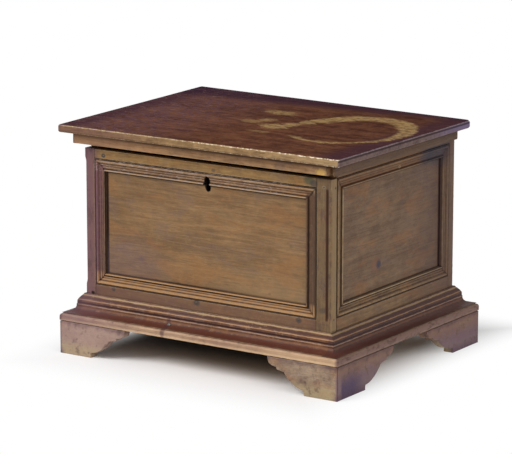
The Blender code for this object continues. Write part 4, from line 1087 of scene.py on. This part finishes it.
finish.lay(right_face, on_side)
worn = finish.told("worn")
rubbed = (worn * 1.5 + chip * 1.1 - 0.95).between(0.0, 0.5)
gaps = finish.noise(finish.place, (190, 240, 240), detail=4, roughness=0.75)
handled = finish.mix(srgb(198, 172, 132), srgb(156, 138, 144), abs(side).between(0.217, 0.223))
finish.lay(handled, rubbed * (0.35 + gaps.between(0.4, 0.6) * 0.4))
# Painted highlights: near-white glints on the worn front arris, more of them to the right.
painted_glints = (worn * 0.9 + gaps * 3.0 + side - 2.20).between(0.0, 0.25)
finish.lay(srgb(236, 220, 194), painted_glints * depth.between(low[1] + 0.006, low[1] + 0.003) * 0.9)
finish.lay(srgb(44, 24, 20), fibre.between(0.5, 0.3) * 0.35)
finish.relief = fibre * 0.5 + figure * 0.4 + chip * rubbed * 1.6
lid_look = finish.close(0.42 + stain * 0.2 + rubbed * 0.1, 0.0003, gloss=0.0)


def rounded_plan(low, high, rounds):
    """The plan of a board as close points and their outward normals, anticlockwise from the
    front left: at each corner an arc c + r (cos a, sin a), and even steps between arcs."""
    points, normals = [], []
    signs = np.array([(-1, -1), (1, -1), (1, 1), (-1, 1)])
    square_corners = np.where(signs > 0, high, low)
    centres = square_corners - signs * np.array(rounds)[:, None]
    for number in range(4):
        angles = np.radians(180 + 90 * number + np.linspace(0, 90, ROUND_TURNS))
        turned = np.stack([np.cos(angles), np.sin(angles)], axis=-1)
        after = (number + 1) % 4
        begin = centres[number] + rounds[number] * turned[-1]
        finish_at = centres[after] + rounds[after] * turned[-1]
        count = int(np.linalg.norm(finish_at - begin) / SIDE_SPACING)
        steps = np.linspace(0, 1, count + 1)[1:-1, None]
        points += [centres[number] + rounds[number] * turned,
                   begin * (1 - steps) + finish_at * steps]
        normals += [turned, turned[-1] + 0 * steps]
    return np.concatenate(points), np.concatenate(normals)


low, high = box_of("lid_board")
high[2] -= LID_WARP
thick = high[2] - low[2]
middle = (low + high)[:2] / 2
plan, normal = rounded_plan(low[:2], high[:2], LID_ROUNDS)
turns = np.linspace(0, RIGHT_ANGLE, ARRIS_TURNS)
shares = np.array(TOP_SHARES)
flat = np.ones_like(shares)
rows = np.linspace(0, 1, EDGE_ROWS + 2)[1:-1]
share = np.concatenate([shares[::-1], np.ones(2 * ARRIS_TURNS + EDGE_ROWS), shares])
inset = np.concatenate([
    flat * LOWER_ARRIS, LOWER_ARRIS * (1 - np.sin(turns)), 0 * rows,
    UPPER_ARRIS * (1 - np.cos(turns)), flat * UPPER_ARRIS])
level = np.concatenate([
    0 * flat, LOWER_ARRIS * (1 - np.cos(turns)),
    LOWER_ARRIS + (thick - LOWER_ARRIS - UPPER_ARRIS) * rows,
    thick - UPPER_ARRIS * (1 - np.sin(turns)), thick * flat])
lean = np.concatenate([-RIGHT_ANGLE * flat, turns - RIGHT_ANGLE, 0 * rows, turns,
                       RIGHT_ANGLE * flat])
arris = np.sin(2 * np.abs(lean))[:, None]
across = middle + (plan - middle - normal * inset[:, None, None]) * share[:, None, None]
points = np.concatenate([across, low[2] + level[:, None, None] + 0 * across[..., :1]], axis=-1)
dents = unevenness(points, ROUGH_SIZE, 121)
bites = unevenness(points, 3 * ROUGH_SIZE, 122)
sway = unevenness(points * (1, 1, 0), BROAD_SIZE, 123)
even, dented, bitten = LID_WEAR_SHARES
sink = arris * LID_WEAR * (even + dented * dents ** 2 + bitten * bites ** 3)
inward = sink * np.cos(lean)[:, None] + LID_SWAY * sway
points[..., :2] -= normal * inward[..., None] * share[:, None, None]
points[..., 2] -= sink * np.sin(lean)[:, None]
hollow = WAVE_DEPTH * 2 * unevenness(points, BROAD_SIZE, 124)
points[..., 2] -= hollow * (lean > RIGHT_ANGLE - FLAT_TURN)[:, None] * (share < 1)[:, None]
left = (high[0] - points[..., 0]) / (high[0] - low[0])
rearward = (points[..., 1] - low[1]) / (high[1] - low[1])
upper = np.clip((points[..., 2] - low[2]) / thick * 2 - 1, 0, 1)
shift = np.random.default_rng(121).random(3) * GRAIN_SHIFT
told = {"worn": arris * (EVEN_SHOW + DENT_SHOW * dents), "grain": points + shift}
points[..., 2] += LID_WARP * left * rearward * upper
solid("worn_lid_board", points, told, lid_look, "lid", ["lid_board"])

# Strips under the lid
# Three walnut strips nailed under the lid, mitred at the front. They hang outside the rim
# and close the joint. The front one has lost its right end.

finish = walnut("strip_walnut", srgb(178, 137, 98), srgb(120, 90, 64), srgb(182, 156, 118),
                chalk=0.3, mottle=0.35)
# Painted shadow of the lid's overhang along the top of the strips.
finish.wash((srgb(52, 30, 25), 0.85, ("z", 0.3035, 0.3075)),
            (srgb(142, 106, 84), 0.5, ("x", -0.03, -0.19)),
            (srgb(62, 46, 42), 0.75, ("|x|", 0.2085, 0.2110)))
finish.stain(srgb(204, 164, 92), 0.7, (0.1900, -0.170, 0.2990), (0.0070, 0.010, 0.0045),
             ragged=1.2)
strip_look = finish.close(0.5 + finish.rubbed * 0.15, 0.0003)

for number, (place, outwards, along, slot, wear, ragged) in enumerate((
        ("front", -BACK, RIGHT, "walnut_front", 0.0010, 0.0030),
        ("right", RIGHT, BACK, "walnut_side", 0.0008, 0.0),
        ("left", -RIGHT, BACK, "walnut_side", 0.0008, 0.0))):
    member(f"lid_strip_{place}", SQUARE, (outwards, UP, along), strip_look, "lid",
           mitres=("outer", ""), wear=wear, ragged=ragged, seed=131 + number)

# Hinges and lock
# Wrought iron, dark with age and rusty in its pits: two butt hinges at the back, and behind
# the panel a lock case with its bolt, spring and key pin, and a staple under the lid.

finish = Finish("old_iron")
scale = finish.noise(finish.place, (260, 260, 260), detail=5, roughness=0.65)
rust = finish.noise(finish.place, (90, 90, 90), detail=4).between(0.5, 0.66)
finish.colour = finish.mix(srgb(66, 62, 60), srgb(98, 94, 90), scale.between(0.35, 0.7))
finish.lay(srgb(104, 64, 40), rust * 0.7)
# The painted shade of the keyhole falls on the lock behind it.
shade_keyhole(finish)
finish.relief = scale
iron_look = finish.close(0.5 + rust * 0.3, 0.0003, 0.75 - rust * 0.6, 0.5)
for name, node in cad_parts.items():
    if name.startswith(("hinge_", "lid_hinge_", "lock_")):
        node.data.materials.clear()
        node.data.materials.append(iron_look)

# Nails
# Hand made iron nails with small domed heads, not quite round, driven through the joints of
# the frame and through the base moulding.

NAIL_RINGS = 5
NAIL_SIDES = 14
NAIL_DOME = 0.0007
NAIL_BURIED = 0.0012
NAIL_MIDDLE = 0.12              # radius of the innermost ring, in shares
NAIL_FLATNESS = 0.95
NAIL_WOBBLE = (0.12, 0.06)      # how far the head strays from round, twice and three times
NAILS = (
    ("front_left", (-0.1688, -0.1583, 0.2797), (0, -1, 0), 0.0015),
    ("front_right", (0.1875, -0.1583, 0.2768), (0, -1, 0), 0.0014),
    ("front_low_left", (-0.1537, -0.1583, 0.0945), (0, -1, 0), 0.0014),
    ("front_low_middle", (-0.0149, -0.1583, 0.0948), (0, -1, 0), 0.0016),
    ("front_low_right", (0.1493, -0.1583, 0.0935), (0, -1, 0), 0.0015),
    ("side_top", (0.1970, 0.0158, 0.2764), (1, 0, 0), 0.0012),
    ("side_front", (0.1998, -0.1492, 0.2757), (1, 0, 0), 0.0016),
    ("side_low", (0.1998, -0.1520, 0.0998), (1, 0, 0), 0.0017),
    ("cove", (-0.0515, -0.1715, 0.0621), (0, -0.8, 0.6), 0.0024),
)

for number, (place, centre, outwards, radius) in enumerate(NAILS):
    outwards = np.array(outwards, float)
    aside = np.array([outwards[1], -outwards[0], 0]) / np.hypot(outwards[0], outwards[1])
    over = np.cross(outwards, aside)
    t = np.linspace(NAIL_MIDDLE, 1, NAIL_RINGS)[:, None]
    angles = np.linspace(0, 2 * math.pi, NAIL_SIDES, endpoint=False)[None]
    wobble = (1 + NAIL_WOBBLE[0] * np.sin(2 * angles + number)
              + NAIL_WOBBLE[1] * np.sin(3 * angles))
    reach = np.concatenate([radius * t * wobble, radius * wobble])
    lift = np.concatenate([NAIL_DOME * np.sqrt(1 - NAIL_FLATNESS * t ** 2),
                           0 * t[:1] - NAIL_BURIED])
    points = (np.array(centre) + (reach * np.cos(angles))[..., None] * aside
              + (reach * np.sin(angles))[..., None] * over
              + (lift + 0 * reach)[..., None] * outwards)
    solid(f"nail_{place}", points, {}, iron_look, "carcass", [])

# Floor and light
# A pale floor that keeps the coffer's soft shadow, with a painted shadow darkening it under
# the coffer, and turns white further off, a broad lamp before it on the left, and an even sky.

FLOOR_HALF = 25.0
FLOOR_TONE = srgb(247, 247, 248)
# Tone of the shadow painted on the floor under the coffer.
FLOOR_SHADOW_TONE = srgb(104, 106, 112)
FLOOR_FADES = (                 # in front, on the right, behind and on the left
    ("y", -0.17, -0.31), ("x", 0.155, 0.270), ("y", 0.19, 0.34), ("x", -0.17, -0.31),
)
# Where the painted shadow lies under the coffer.
SHADOW_UNDER_COFFER = (("y", -0.15, -0.04), ("y", 0.17, 0.12), ("x", 0.16, 0.04), ("x", -0.22, -0.18))
SKY = 0.40
LAMPS = (                       # place, width and watts
    ((-1.4, -2.6, 2.6), 2.2, 112.0),
    ((2.8, -1.4, 1.6), 2.2, 30.0),
)
LAMP_AIM = (0.0, 0.0, 0.15)

mesh = bpy.data.meshes.new("floor")
corners = [(x * FLOOR_HALF, y * FLOOR_HALF, 0) for x, y in ((-1, -1), (1, -1), (1, 1), (-1, 1))]
mesh.from_pydata(corners, [], [(0, 1, 2, 3)])
floor = placed("floor", mesh)
finish = Finish("pale_floor")
far = 0.0
for name, start, full in FLOOR_FADES:
    far = finish.masks[name].between(start, full).either(far)
seen = finish.node("ShaderNodeLightPath")
for ray in (3, 5):              # glossy and transmission rays
    seen = seen.either(finish.node("ShaderNodeLightPath", output=ray))
finish.colour = FLOOR_TONE
# Paint the shadow under the coffer onto the floor.
finish.wash((FLOOR_SHADOW_TONE, 1.0, *SHADOW_UNDER_COFFER))
finish.close(0.9, 0.0, gloss=0.0)
white = finish.node("ShaderNodeEmission", (), {"Color": (1, 1, 1), "Strength": 1.0})
whole = finish.node("ShaderNodeMixShader", (), (seen * far, Wire(
    finish, finish.shader.outputs[0]), white))
output = finish.look.node_tree.nodes["Material Output"]
finish.feed(output.inputs["Surface"], whole)
mesh.materials.append(finish.look)
floor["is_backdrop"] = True

world = bpy.data.worlds.new("sky")
world.use_nodes = True
sky = world.node_tree
backdrop = sky.nodes["Background"]
path = sky.nodes.new("ShaderNodeLightPath")
strength = sky.nodes.new("ShaderNodeMapRange")
strength.inputs["To Min"].default_value = SKY
strength.inputs["To Max"].default_value = 1.0
rays = path.outputs["Is Camera Ray"]
for kind in ("Is Glossy Ray", "Is Transmission Ray"):
    both = sky.nodes.new("ShaderNodeMath")
    both.operation = "MAXIMUM"
    sky.links.new(rays, both.inputs[0])
    sky.links.new(path.outputs[kind], both.inputs[1])
    rays = both.outputs[0]
sky.links.new(rays, strength.inputs["Value"])
sky.links.new(strength.outputs[0], backdrop.inputs["Strength"])
backdrop.inputs["Color"].default_value = (1, 1, 1, 1)
bpy.context.scene.world = world

for number, (place, width, watts) in enumerate(LAMPS):
    lamp = bpy.data.lights.new(f"lamp_{number}", "AREA")
    lamp.shape = "DISK"
    lamp.size = width
    lamp.energy = watts
    light = placed(f"lamp_{number}", lamp)
    light.location = place
    aim = np.array(LAMP_AIM) - np.array(place)
    light.rotation_euler = (math.acos(-aim[2] / np.linalg.norm(aim)), 0,
                            math.atan2(-aim[0], aim[1]))
bpy.context.scene.view_settings.view_transform = "Standard"

sizes = {"cad": [list(corner) for corner in cad_box],
         "visual": [list(corner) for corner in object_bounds()]}
